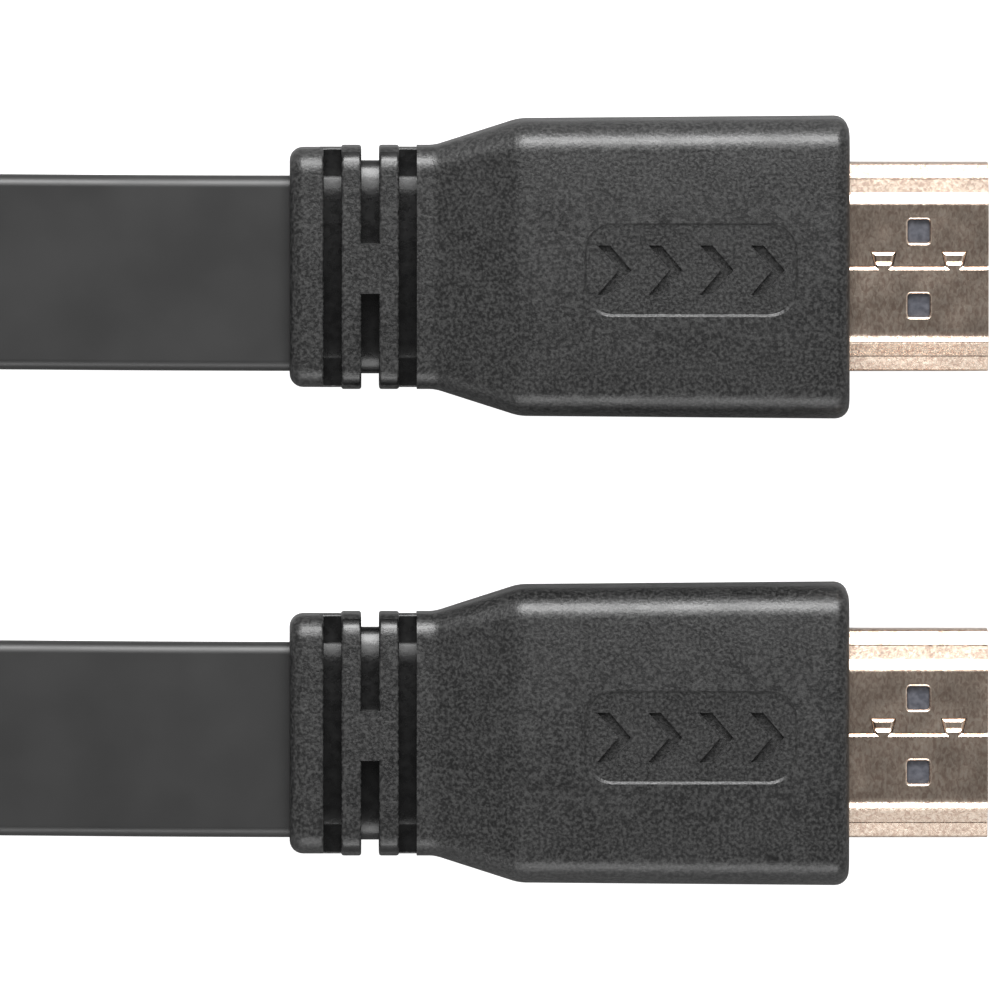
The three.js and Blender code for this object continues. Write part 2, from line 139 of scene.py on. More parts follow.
def choose(piece: bpy.types.Object, pick: Pick, test: Callable[[Vector, Vector], bool]) -> int:
    """Selects, in edit mode, the elements that pass a test, and nothing else.

    Args:
        piece: The piece in edit mode.
        pick: Which kind of element.
        test: Given an element's centre, and its normal or its direction, says whether it is wanted.

    Returns:
        How many elements were selected.
    """
    bpy.ops.mesh.select_mode(type=pick.value)
    bpy.ops.mesh.select_all(action="DESELECT")
    mesh = bmesh.from_edit_mesh(piece.data)
    mesh.normal_update()
    count = 0
    if pick is Pick.FACES:
        found = [(f, f.calc_center_median(), f.normal) for f in mesh.faces]
    elif pick is Pick.EDGES:
        found = [
            (e, (e.verts[0].co + e.verts[1].co) / 2, (e.verts[1].co - e.verts[0].co).normalized())
            for e in mesh.edges
        ]
    else:
        found = [(v, v.co, v.normal) for v in mesh.verts]
    for element, centre, direction in found:
        if test(centre, direction):
            element.select_set(True)
            count += 1
    mesh.select_flush_mode()
    bmesh.update_edit_mesh(piece.data)
    return count


def round_edges(
    piece: bpy.types.Object, radius: float, segments: int, test: Callable[[Vector, Vector], bool],
    sharper_than: float = 30.0,
) -> int:
    """Rounds the sharp edges that pass a test.

    Args:
        piece: The piece.
        radius: How far the rounding reaches, in metres.
        segments: Steps in the rounding.
        test: Given an edge's centre and direction, says whether it is wanted.
        sharper_than: Edges flatter than this angle, in degrees, are left.

    Returns:
        How many edges were rounded.
    """
    with editing(piece, Pick.EDGES) as mesh:
        choose(piece, Pick.EDGES, test)
        for edge in mesh.edges:
            if edge.select and edge.calc_face_angle(0.0) < math.radians(sharper_than):
                edge.select_set(False)
        count = sum(edge.select for edge in mesh.edges)
        bmesh.update_edit_mesh(piece.data)
        if count:
            bpy.ops.mesh.bevel(
                offset=radius, segments=segments, affect="EDGES", clamp_overlap=False, loop_slide=False
            )
    return count


def split_faces(piece: bpy.types.Object, test: Callable[[Vector, Vector], bool]) -> int:
    """Splits the faces that pass a test into triangles, so that a ring stays open when its edges are rounded.

    Args:
        piece: The piece.
        test: Given a face's centre and normal, says whether it is wanted.

    Returns:
        How many faces were split.
    """
    with editing(piece, Pick.FACES):
        count = choose(piece, Pick.FACES, test)
        if count:
            bpy.ops.mesh.quads_convert_to_tris(quad_method="BEAUTY", ngon_method="BEAUTY")
    return count


def finish_with(piece: bpy.types.Object, kind: str, **settings: object) -> None:
    """Adds a modifier and applies it.

    Args:
        piece: The piece to change.
        kind: The modifier's type.
        **settings: Values for the modifier's own properties.
    """
    make_active(piece)
    modifier = piece.modifiers.new(kind.lower(), kind)
    for key, value in settings.items():
        setattr(modifier, key, value)
    bpy.ops.object.modifier_apply(modifier=modifier.name)


def join_solid(piece: bpy.types.Object, other: bpy.types.Object) -> None:
    """Makes one body of two overlapping ones.

    Args:
        piece: The piece that grows.
        other: The piece that goes into it.
    """
    finish_with(piece, "BOOLEAN", operation="UNION", object=other, solver="EXACT")
    bpy.data.objects.remove(other)


def cut_away(piece: bpy.types.Object, tool: bpy.types.Object) -> None:
    """Cuts a tool's shape out of a piece.

    Args:
        piece: The piece that is cut.
        tool: The cutter, which is used up.
    """
    finish_with(piece, "BOOLEAN", operation="DIFFERENCE", object=tool, solver="EXACT")
    bpy.data.objects.remove(tool)


def recalculate(piece: bpy.types.Object) -> None:
    """Merges doubled points and turns every face outward.

    Args:
        piece: The piece to clean.
    """
    with editing(piece, Pick.FACES, whole=True):
        bpy.ops.mesh.remove_doubles(threshold=1e-6)
        bpy.ops.mesh.normals_make_consistent(inside=False)


def smooth(piece: bpy.types.Object, degrees: float = 32.0) -> None:
    """Shades a piece smooth, with edges sharper than an angle left crisp.

    Args:
        piece: The piece to shade.
        degrees: The angle above which an edge stays crisp.
    """
    make_active(piece)
    bpy.ops.object.shade_smooth_by_angle(angle=math.radians(degrees))
    finish_with(piece, "WEIGHTED_NORMAL", mode="FACE_AREA", weight=100, keep_sharp=True)


def block(name: str, low: Point, high: Point, rounding: float = 0.0, segments: int = 3) -> bpy.types.Object:
    """A box between two corners, with rounded edges.

    Args:
        name: The new object's name.
        low: The lowest corner, in metres.
        high: The highest corner, in metres.
        rounding: The edges' radius, in metres.
        segments: Steps in the rounding.

    Returns:
        The block.
    """
    centre = [(a + b) / 2 for a, b in zip(low, high)]
    size = [b - a for a, b in zip(low, high)]
    bpy.ops.object.select_all(action="DESELECT")
    bpy.ops.mesh.primitive_cube_add(size=1, location=centre, scale=size)
    piece = bpy.context.object
    piece.name = name
    settle(piece)
    if rounding:
        with editing(piece, Pick.EDGES, whole=True):
            bpy.ops.mesh.bevel(offset=rounding, segments=segments, affect="EDGES")
    return piece


def trace(name: str, points: Sequence[Point], closed: bool) -> bpy.types.Object:
    """A line of edges through points, made by extruding one point again and again.

    Args:
        name: The new object's name.
        points: The line's points, in metres.
        closed: Whether the last point is joined to the first and the outline is filled.

    Returns:
        The line, or the filled outline.
    """
    bpy.ops.object.select_all(action="DESELECT")
    bpy.ops.mesh.primitive_plane_add(size=1)
    piece = bpy.context.object
    piece.name = name
    with editing(piece, Pick.VERTS):
        choose(piece, Pick.VERTS, lambda co, n: co.x > 0 or co.y > 0)
        bpy.ops.mesh.delete(type="VERT")
        bpy.ops.mesh.select_all(action="SELECT")
        here = Vector((-0.5, -0.5, 0))
        bpy.ops.transform.translate(value=Vector(points[0]) - here)
        for start, end in zip(points, points[1:]):
            step = Vector(end) - Vector(start)
            bpy.ops.mesh.extrude_vertices_move(TRANSFORM_OT_translate={"value": step})
        if closed:
            bpy.ops.mesh.select_all(action="SELECT")
            bpy.ops.mesh.edge_face_add()
    return piece


def pull(piece: bpy.types.Object, pick: Pick, step: Vector) -> None:
    """Extrudes the whole of an outline or line by a step.

    Args:
        piece: The outline or line.
        pick: FACES for a filled outline, EDGES for a line.
        step: How far, in metres.
    """
    with editing(piece, pick, whole=True):
        if pick is Pick.FACES:
            bpy.ops.mesh.extrude_region_move(TRANSFORM_OT_translate={"value": step})
        else:
            bpy.ops.mesh.extrude_edges_move(TRANSFORM_OT_translate={"value": step})
        bpy.ops.mesh.select_all(action="SELECT")
        bpy.ops.mesh.normals_make_consistent(inside=False)


def copied(piece: bpy.types.Object, name: str, step: Vector) -> bpy.types.Object:
    """A copy with its own mesh, moved in its mesh.

    Args:
        piece: The piece to copy.
        name: The copy's name.
        step: How far the copy is moved, in metres.

    Returns:
        The copy.
    """
    make_active(piece)
    bpy.ops.object.duplicate(linked=False)
    copy = bpy.context.object
    copy.name = name
    copy.location = step
    settle(copy)
    return copy


def fill_ramp(ramp: bpy.types.Node, stops: Sequence[tuple[float, Sequence[float]]]) -> None:
    """Gives a colour ramp its stops.

    Args:
        ramp: The colour ramp node.
        stops: Places from 0 to 1 with a colour at each.
    """
    while len(ramp.color_ramp.elements) < len(stops):
        ramp.color_ramp.elements.new(0.5)
    for element, (place, colour) in zip(ramp.color_ramp.elements, stops):
        element.position = place
        element.color = (*colour, 1)


@dataclass(frozen=True)
class Paint:
    """A material while its finish is mixed.

    Attributes:
        tree: The material's nodes.
        shader: Its Principled shader.
    """

    tree: bpy.types.NodeTree
    shader: bpy.types.Node

    def give(self, socket: str, value: float) -> None:
        """Sets one of the shader's own sockets."""
        self.shader.inputs[socket].default_value = value

    def noise(self, scale: float, detail: float, stretch: Point = (1, 1, 1)) -> bpy.types.Node:
        """Noise on object coordinates.

        Args:
            scale: Cells per metre.
            detail: Octaves.
            stretch: Scale along each axis.

        Returns:
            The noise node.
        """
        place = self.tree.nodes.new("ShaderNodeTexCoord")
        mapping = self.tree.nodes.new("ShaderNodeMapping")
        mapping.inputs["Scale"].default_value = stretch
        noise = self.tree.nodes.new("ShaderNodeTexNoise")
        noise.inputs["Scale"].default_value = scale
        noise.inputs["Detail"].default_value = detail
        self.tree.links.new(place.outputs["Object"], mapping.inputs["Vector"])
        self.tree.links.new(mapping.outputs["Vector"], noise.inputs["Vector"])
        return noise

    def colour(self, source: bpy.types.Node, stops: Sequence[tuple[float, Sequence[float]]]) -> None:
        """Colours the surface from a noise's values.

        Args:
            source: The noise.
            stops: Places from 0 to 1 with a colour at each.
        """
        ramp = self.tree.nodes.new("ShaderNodeValToRGB")
        fill_ramp(ramp, stops)
        self.tree.links.new(source.outputs["Fac"], ramp.inputs["Fac"])
        self.tree.links.new(ramp.outputs["Color"], self.shader.inputs["Base Color"])

    def sheen(self, source: bpy.types.Node, low: float, high: float) -> None:
        """Varies the roughness with a noise's middle range.

        Args:
            source: The noise.
            low: The roughness where the noise is 0.3.
            high: The roughness where it is 0.7.
        """
        spread = self.tree.nodes.new("ShaderNodeMapRange")
        for socket, value in {"From Min": 0.3, "From Max": 0.7, "To Min": low, "To Max": high}.items():
            spread.inputs[socket].default_value = value
        self.tree.links.new(source.outputs["Fac"], spread.inputs["Value"])
        self.tree.links.new(spread.outputs["Result"], self.shader.inputs["Roughness"])

    def bump(self, *heights: tuple[bpy.types.Node, float, float]) -> None:
        """Chains bumps into the shader's normal.

        Args:
            *heights: For each bump its noise, its strength and its depth in metres.
        """
        normal = None
        for source, strength, depth in heights:
            bump = self.tree.nodes.new("ShaderNodeBump")
            bump.inputs["Strength"].default_value = strength
            bump.inputs["Distance"].default_value = depth
            self.tree.links.new(source.outputs["Fac"], bump.inputs["Height"])
            if normal:
                self.tree.links.new(normal, bump.inputs["Normal"])
            normal = bump.outputs["Normal"]
        self.tree.links.new(normal, self.shader.inputs["Normal"])


@dataclass(frozen=True)
class Finish:
    """A finish that is one material on the pieces that wear it.

    Attributes:
        name: The material's name.
        slot: The name of its material slot.
    """

    name: str
    slot: str

    def material(self) -> bpy.types.Material:
        """Makes the material with its nodes.

        Returns:
            The new material.
        """
        made = bpy.data.materials.new(self.name)
        made.use_nodes = True
        self.mix(Paint(made.node_tree, made.node_tree.nodes["Principled BSDF"]))
        return made

    def mix(self, paint: Paint) -> None:
        """Sets the material up. Each finish has its own."""
        raise NotImplementedError


@dataclass(frozen=True)
class GrainedPvc(Finish):
    """Matt black moulding with the fine grain of a spark-eroded mould.

    Attributes:
        dark: Colour in the grain's hollows.
        light: Colour on its tops.
        grain_size: Width of a grain, in metres.
    """

    name: str = "grained_pvc"
    slot: str = "moulding"
    dark: Point = (0.0015, 0.0015, 0.0016)
    light: Point = (0.030, 0.030, 0.0298)
    grain_size: float = 0.00022

    def mix(self, paint: Paint) -> None:
        """Fine grain, faint scuffs and an uneven sheen.

        Args:
            paint: The material.
        """
        grain = paint.noise(1 / self.grain_size, 4.0)
        grain.inputs["Roughness"].default_value = 0.62
        cloud = paint.noise(420.0, 4.0)
        scuffs = paint.noise(900.0, 3.0, (0.25, 1.0, 1.0))
        paint.colour(grain, [(0.42, self.dark), (0.63, self.light)])
        paint.sheen(cloud, 0.34, 0.43)
        paint.give("IOR", 1.5)
        paint.bump((scuffs, 0.15, 0.00006), (grain, 0.65, 0.00005))


@dataclass(frozen=True)
class ShadedGroovePvc(Finish):
    """Black PVC in the narrow grooves, where the mould has no grain and the surface stays glossy; its colour
    is far darker than the grained moulding's, as painted shade in the recesses.

    Attributes:
        dark: Its darkest colour.
        light: Its lightest colour.
    """

    name: str = "groove_pvc_painted_shade"
    slot: str = "moulding"
    # Both colours are far darker than the grained moulding's: painted shade in the grooves.
    dark: Point = (0.0015, 0.0015, 0.0016)
    light: Point = (0.004, 0.004, 0.0041)

    def mix(self, paint: Paint) -> None:
        """Far darker than the grained moulding as painted shade, fairly glossy, with faint flow marks.

        Args:
            paint: The material.
        """
        cloud = paint.noise(1500.0, 3.0)
        fine = paint.noise(4200.0, 2.0)
        paint.colour(cloud, [(0.35, self.dark), (0.65, self.light)])
        paint.sheen(cloud, 0.24, 0.32)
        paint.give("IOR", 1.45)
        paint.bump((fine, 0.3, 0.00003))


@dataclass(frozen=True)
class SatinPvc(Finish):
    """Smooth dark grey cable jacket.

    Attributes:
        dark: The jacket's darkest colour.
        light: Its lightest colour.
    """

    name: str = "satin_pvc"
    slot: str = "cable"
    dark: Point = (0.0105, 0.0105, 0.0105)
    light: Point = (0.0130, 0.0130, 0.0130)

    def mix(self, paint: Paint) -> None:
        """Almost even, with faint clouding in its colour and sheen.

        Args:
            paint: The material.
        """
        cloud = paint.noise(160.0, 3.0)
        fine = paint.noise(5200.0, 2.0)
        paint.colour(cloud, [(0.35, self.dark), (0.65, self.light)])
        paint.sheen(cloud, 0.42, 0.48)
        paint.give("IOR", 1.5)
        paint.bump((fine, 0.08, 0.00002))


@dataclass(frozen=True)
class RolledGilt(Finish):
    """Pale gold plating on rolled sheet, with the rolling marks showing through.

    Attributes:
        deep: Colour in the marks.
        middle: The usual colour.
        pale: Colour on the polished spots.
    """

    name: str = "rolled_gilt"
    slot: str = "gilt"
    deep: Point = (0.62, 0.46, 0.37)
    middle: Point = (0.80, 0.64, 0.52)
    pale: Point = (0.94, 0.79, 0.66)

    def mix(self, paint: Paint) -> None:
        """Short wavy marks in the colour, the sheen and the surface.

        Args:
            paint: The material.
        """
        marks = paint.noise(4300.0, 3.0, (1.0, 0.6, 1.0))
        marks.inputs["Distortion"].default_value = 0.7
        cloud = paint.noise(500.0, 3.0)
        paint.colour(marks, [(0.36, self.deep), (0.5, self.middle), (0.66, self.pale)])
        paint.give("Metallic", 1.0)
        paint.sheen(cloud, 0.18, 0.25)
        paint.bump((marks, 0.4, 0.00003))


@dataclass(frozen=True)
class CarrierPlastic(Finish):
    """Dark blue-grey moulded plastic of the contact carrier.

    Attributes:
        dark: Its darkest colour.
        light: Its lightest colour.
    """

    name: str = "carrier_plastic"
    slot: str = "carrier"
    dark: Point = (0.038, 0.040, 0.050)
    light: Point = (0.068, 0.070, 0.084)

    def mix(self, paint: Paint) -> None:
        """A slightly mottled blue-grey.

        Args:
            paint: The material.
        """
        mottle = paint.noise(3200.0, 3.0)
        paint.colour(mottle, [(0.35, self.dark), (0.65, self.light)])
        paint.sheen(mottle, 0.38, 0.5)
        paint.bump((mottle, 0.2, 0.00002))


@dataclass(frozen=True)
class ContactGold(Finish):
    """Selective gold plating on the contact strips.

    Attributes:
        deep: Colour in the drawn lines.
        pale: Colour between them.
    """

    name: str = "contact_gold"
    slot: str = "contact"
    deep: Point = (0.78, 0.53, 0.20)
    pale: Point = (0.92, 0.70, 0.34)

    def mix(self, paint: Paint) -> None:
        """Warm gold with faint drawn lines along the strip.

        Args:
            paint: The material.
        """
        lines = paint.noise(5000.0, 2.0, (0.08, 1.0, 1.0))
        paint.colour(lines, [(0.3, self.deep), (0.7, self.pale)])
        paint.give("Metallic", 1.0)
        paint.sheen(lines, 0.2, 0.3)
        paint.bump((lines, 0.2, 0.00001))


@dataclass(frozen=True)
class TieCoating(Finish):
    """Black plastic coating of the wire tie.

    Attributes:
        dark: Its darkest colour.
        light: Its lightest colour.
    """

    name: str = "tie_coating"
    slot: str = "tie"
    dark: Point = (0.012, 0.012, 0.013)
    light: Point = (0.026, 0.026, 0.027)

    def mix(self, paint: Paint) -> None:
        """Black with a soft, uneven gloss.

        Args:
            paint: The material.
        """
        cloud = paint.noise(700.0, 3.0)
        paint.colour(cloud, [(0.35, self.dark), (0.65, self.light)])
        paint.sheen(cloud, 0.3, 0.42)
        paint.bump((cloud, 0.25, 0.00006))


@dataclass
class Wardrobe:
    """Every finish, made once and put on the pieces that wear it.

    Attributes:
        made: The materials made so far, by name.
    """

    made: dict[str, bpy.types.Material] = field(default_factory=dict)

    def material(self, finish: Finish) -> bpy.types.Material:
        """A finish's material, made the first time that it is asked for.

        Args:
            finish: The finish.

        Returns:
            The material.
        """
        if finish.name not in self.made:
            self.made[finish.name] = finish.material()
        return self.made[finish.name]

    def put_on(self, piece: bpy.types.Object, finish: Finish) -> None:
        """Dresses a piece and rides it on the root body.

        Args:
            piece: The piece.
            finish: The finish that it wears.
        """
        piece.data.materials.clear()
        piece.data.materials.append(self.material(finish))
        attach(piece, "root")

    def trim(self, piece: bpy.types.Object, finish: Finish, test: Callable[[Vector], bool]) -> int:
        """Dresses some faces of a piece in a second finish of the same slot.

        Args:
            piece: The piece, already dressed.
            finish: The second finish.
            test: Given a face's centre, says whether it wears the second finish.

        Returns:
            How many faces wear it.
        """
        piece.data.materials.append(self.material(finish))
        chosen = [face for face in piece.data.polygons if test(face.center)]
        for face in chosen:
            face.material_index = 1
        return len(chosen)


@dataclass
class Moulding:
    """The moulded body and its strain relief, drawn round the plug's own axis. Sizes are in millimetres."""

    rear_x: float
    front_x: float
    axis_z: float
    thickness: float
    front_width: float
    shoulder_width: float = 19.64
    front_radius: float = 0.95
    full_radius: float = 0.45
    taper_radius: float = 0.35
    taper_start: float = 1.2
    taper_length: float = 5.6
    relief_width: float = 16.15
    collar_width: float = 15.88
    relief_thickness: float = 6.6
    relief_radius: float = 1.6
    collar_length: float = 2.26
    collar_radius: float = 0.9
    rib_length: float = 1.33
    groove_length: float = 1.18
    core_width: float = 14.2
    core_thickness: float = 3.1
    core_radius: float = 1.25
    core_stretch: float = 2.2
    web_thickness: float = 2.2
    web_radius: float = 0.12
    web_overlap: float = 1.2
    groove_drop: float = 0.35
    groove_side: float = 0.25
    bridge_width: float = 3.3
    inset: float = 0.1
    small_radius: float = 0.16
    crown: float = 0.14

    @property
    def body_rear_x(self) -> float:
        """Where the strain relief ends and the body starts."""
        return self.rear_x + self.collar_length + 2 * self.rib_length + 3 * self.groove_length

    def bar(
        self, name: str, x: float, width: float, thickness: float, radius: float, stretch: float = 1.0
    ) -> bpy.types.Object:
        """A rounded section across the plug, slightly crowned, ready to be pulled forward.

        Args:
            name: The new object's name.
            x: Where it stands along the plug.
            width: Its width.
            thickness: Its thickness.
            radius: Its corner radius.
            stretch: How many times wider than high each corner's rounding is.

        Returns:
            The outline, as one face.
        """
        reach = radius * stretch
        flat, half = width / 2 - reach, thickness / 2
        corner = [
            (flat + reach * math.cos(math.pi * i / 20), half - radius + radius * math.sin(math.pi * i / 20))
            for i in range(11)
        ]
        top = [(flat * (1 - i / 5), half) for i in range(1, 5)]
        quarter = [(y, z - self.crown * min(1.0, y / flat) ** 2) for y, z in [*corner, *top, (0.0, half)]]
        upper = [*quarter, *((-y, z) for y, z in reversed(quarter[:-1]))]
        outline = [*upper, *((-y, -z) for y, z in upper)]
        return trace(name, [mm(x, y, self.axis_z + z) for y, z in outline], True)

    def lengthen(self, piece: bpy.types.Object, steps: Sequence[Point]) -> None:
        """Pulls an outline forward in steps, with a change of width and thickness at each.

        Args:
            piece: The outline.
            steps: For each, the length, and the factors on width and thickness.
        """
        with editing(piece, Pick.FACES, whole=True):
            for length, wider, thicker in steps:
                bpy.ops.mesh.extrude_region_move(TRANSFORM_OT_translate={"value": (length * MM, 0, 0)})
                bpy.ops.transform.resize(value=(1, wider, thicker))
        recalculate(piece)

    def round_ring(self, piece: bpy.types.Object, x: float, radius: float, segments: int) -> None:
        """Rounds the ring of edges at one place along the plug.

        Args:
            piece: The piece.
            x: Where the ring is.
            radius: The rounding.
            segments: Steps in the rounding.
        """
        with editing(piece, Pick.EDGES):
            choose(piece, Pick.EDGES, lambda co, d: abs(co.x - x * MM) < 1e-5 and abs(d.x) < 0.1)
            bpy.ops.mesh.bevel(offset=radius * MM, segments=segments, affect="EDGES")

    def body(self) -> bpy.types.Object:
        """The body, from its slim rear through the taper to the rounded front.

        Returns:
            The body without its cuts.
        """
        taper_x = self.body_rear_x + self.taper_start
        full_x = taper_x + self.taper_length
        piece = self.bar(
            "moulding", self.body_rear_x, self.relief_width, self.relief_thickness, self.relief_radius
        )
        wider, thicker = self.shoulder_width / self.relief_width, self.thickness / self.relief_thickness
        self.lengthen(piece, [
            (self.taper_start, 1, 1),
            (self.taper_length, wider, thicker),
            (self.front_x - full_x, self.front_width / self.shoulder_width, 1),
        ])
        self.round_ring(piece, self.front_x, self.front_radius, 6)
        self.round_ring(piece, full_x, self.full_radius, 3)
        self.round_ring(piece, taper_x, self.taper_radius, 3)
        return piece

    def in_groove(self, place: Vector) -> bool:
        """Whether a point lies in one of the relief's grooves, whose faces wear the painted shade.

        Args:
            place: The point, in metres from the plug's own axis.

        Returns:
            Whether it does.
        """
        x, y, z = place / MM
        along = self.rear_x + self.collar_length - 0.01 < x < self.body_rear_x + 0.01
        deep = abs(z - self.axis_z) < self.relief_thickness / 2 - self.groove_drop
        return along and deep and abs(y) < self.relief_width / 2 - self.groove_side

    def collar(self) -> bpy.types.Object:
        """The collar that the cable comes out of.

        Returns:
            The collar.
        """
        piece = self.bar("collar", self.rear_x, self.collar_width, self.relief_thickness, self.relief_radius)
        self.lengthen(piece, [(self.collar_length, 1, 1)])
        self.round_ring(piece, self.rear_x, self.collar_radius, 6)
        self.round_ring(piece, self.rear_x + self.collar_length, self.small_radius, 3)
        return piece

    def ribs(self) -> list[bpy.types.Object]:
        """The two ribs, the core, the side webs and the bridge.

        Returns:
            The pieces that join the collar to the body.
        """
        collar_end = self.rear_x + self.collar_length
        pitch = self.rib_length + self.groove_length
        overlap = self.rib_length / 4
        core = self.bar(
            "core", collar_end - overlap, self.core_width, self.core_thickness,
            self.core_radius, self.core_stretch,
        )
        self.lengthen(core, [(self.body_rear_x + overlap - collar_end + overlap, 1, 1)])
        pieces = [core]
        for number in range(2):
            x = collar_end + self.groove_length + number * pitch
            rib = self.bar("rib", x, self.relief_width, self.relief_thickness, self.relief_radius)
            self.lengthen(rib, [(self.rib_length, 1, 1)])
            self.round_ring(rib, x, self.small_radius, 3)
            self.round_ring(rib, x + self.rib_length, self.small_radius, 3)
            pieces.append(rib)
        outer = self.relief_width / 2 - self.inset
        inner = self.core_width / 2 - self.web_overlap
        half = self.web_thickness / 2
        for groove in (0, 2):
            x0 = collar_end + groove * pitch - overlap
            x1 = x0 + self.groove_length + 2 * overlap
            for side in (-1, 1):
                y0, y1 = sorted((side * inner, side * outer))
                low, high = mm(x0, y0, self.axis_z - half), mm(x1, y1, self.axis_z + half)
                pieces.append(block("web", low, high, self.web_radius * MM))
        x0 = collar_end + pitch - overlap
        half = self.relief_thickness / 2 - 0.01
        pieces.append(block(
            "bridge",
            mm(x0, -self.bridge_width / 2, self.axis_z - half),
            mm(x0 + self.groove_length + 2 * overlap, self.bridge_width / 2, self.axis_z + half),
        ))
        return pieces

    def build(self, cutters: Sequence[bpy.types.Object]) -> bpy.types.Object:
        """Joins the body and the strain relief and makes the cuts.

        Args:
            cutters: The pocket, the cable's socket and the engraving.

        Returns:
            The finished moulding.
        """
        piece = self.body()
        for part in [self.collar(), *self.ribs()]:
            join_solid(piece, part)
        for cutter in cutters:
            cut_away(piece, cutter)
        recalculate(piece)
        smooth(piece)
        return piece


@dataclass
class Engraving:
    """The shallow panel on top of the body and the row of arrows sunk in it. Sizes are in millimetres."""

    front_x: float
    top_z: float
    length: float = 14.2
    width: float = 6.3
    corner: float = 1.8
    setback: float = 3.46
    step: float = 0.17
    slope: float = 0.17
    skew: float = 0.05
    depth: float = 0.6
    arrows: int = 4
    pitch: float = 3.4
    height: float = 3.3
    reach: float = 1.4
    stroke: float = 0.85

    @property
    def centre_x(self) -> float:
        """The panel's centre along the plug."""
        return self.front_x - self.setback - self.length / 2

    def panel(self) -> bpy.types.Object:
        """The cutter for the panel: a rounded plate with sloping walls.

        Returns:
            The cutter.
        """
        bpy.ops.object.select_all(action="DESELECT")
        bpy.ops.mesh.primitive_plane_add(size=1, location=mm(self.centre_x, 0, self.top_z - self.step))
        piece = bpy.context.object
        piece.name = "panel_cutter"
        piece.scale = ((self.length - 2 * self.slope) * MM, (self.width - 2 * self.slope) * MM, 1)
        settle(piece)
        wider = self.length / (self.length - 2 * self.slope)
        taller = self.width / (self.width - 2 * self.slope)
        with editing(piece, Pick.VERTS):
            bpy.ops.mesh.select_all(action="SELECT")
            bpy.ops.mesh.bevel(offset=self.corner * MM, segments=8, affect="VERTICES")
            bpy.ops.mesh.select_mode(type="FACE")
            bpy.ops.mesh.select_all(action="SELECT")
            bpy.ops.transform.translate(value=mm(0, self.skew, 0))
            bpy.ops.mesh.extrude_region_move(TRANSFORM_OT_translate={"value": mm(0, -self.skew, self.step)})
            bpy.ops.transform.resize(value=(wider, taller, 1))
            bpy.ops.mesh.extrude_region_move(TRANSFORM_OT_translate={"value": (0, 0, 1 * MM)})
            bpy.ops.transform.resize(value=(1.02, 1.02, 1))
        recalculate(piece)
        return piece

    def arrow(self, number: int) -> bpy.types.Object:
        """The cutter for one arrow, which points to the plug's tip.

        Args:
            number: Its place in the row.

        Returns:
            The cutter.
        """
        x = self.centre_x + (number - (self.arrows - 1) / 2) * self.pitch - (self.reach + self.stroke) / 2
        half = self.height / 2
        outline = [
            (x, -half), (x + self.stroke, -half), (x + self.stroke + self.reach, 0),
            (x + self.stroke, half), (x, half), (x + self.reach, 0),
        ]
        piece = trace("arrow_cutter", [mm(a, b, self.top_z - self.depth) for a, b in outline], True)
        pull(piece, Pick.FACES, Vector((0, 0, 1 * MM)))
        return piece

    def cutters(self) -> list[bpy.types.Object]:
        """Every cutter of the engraving.

        Returns:
            The panel's cutter and the arrows'.
        """
        return [self.panel(), *(self.arrow(number) for number in range(self.arrows))]


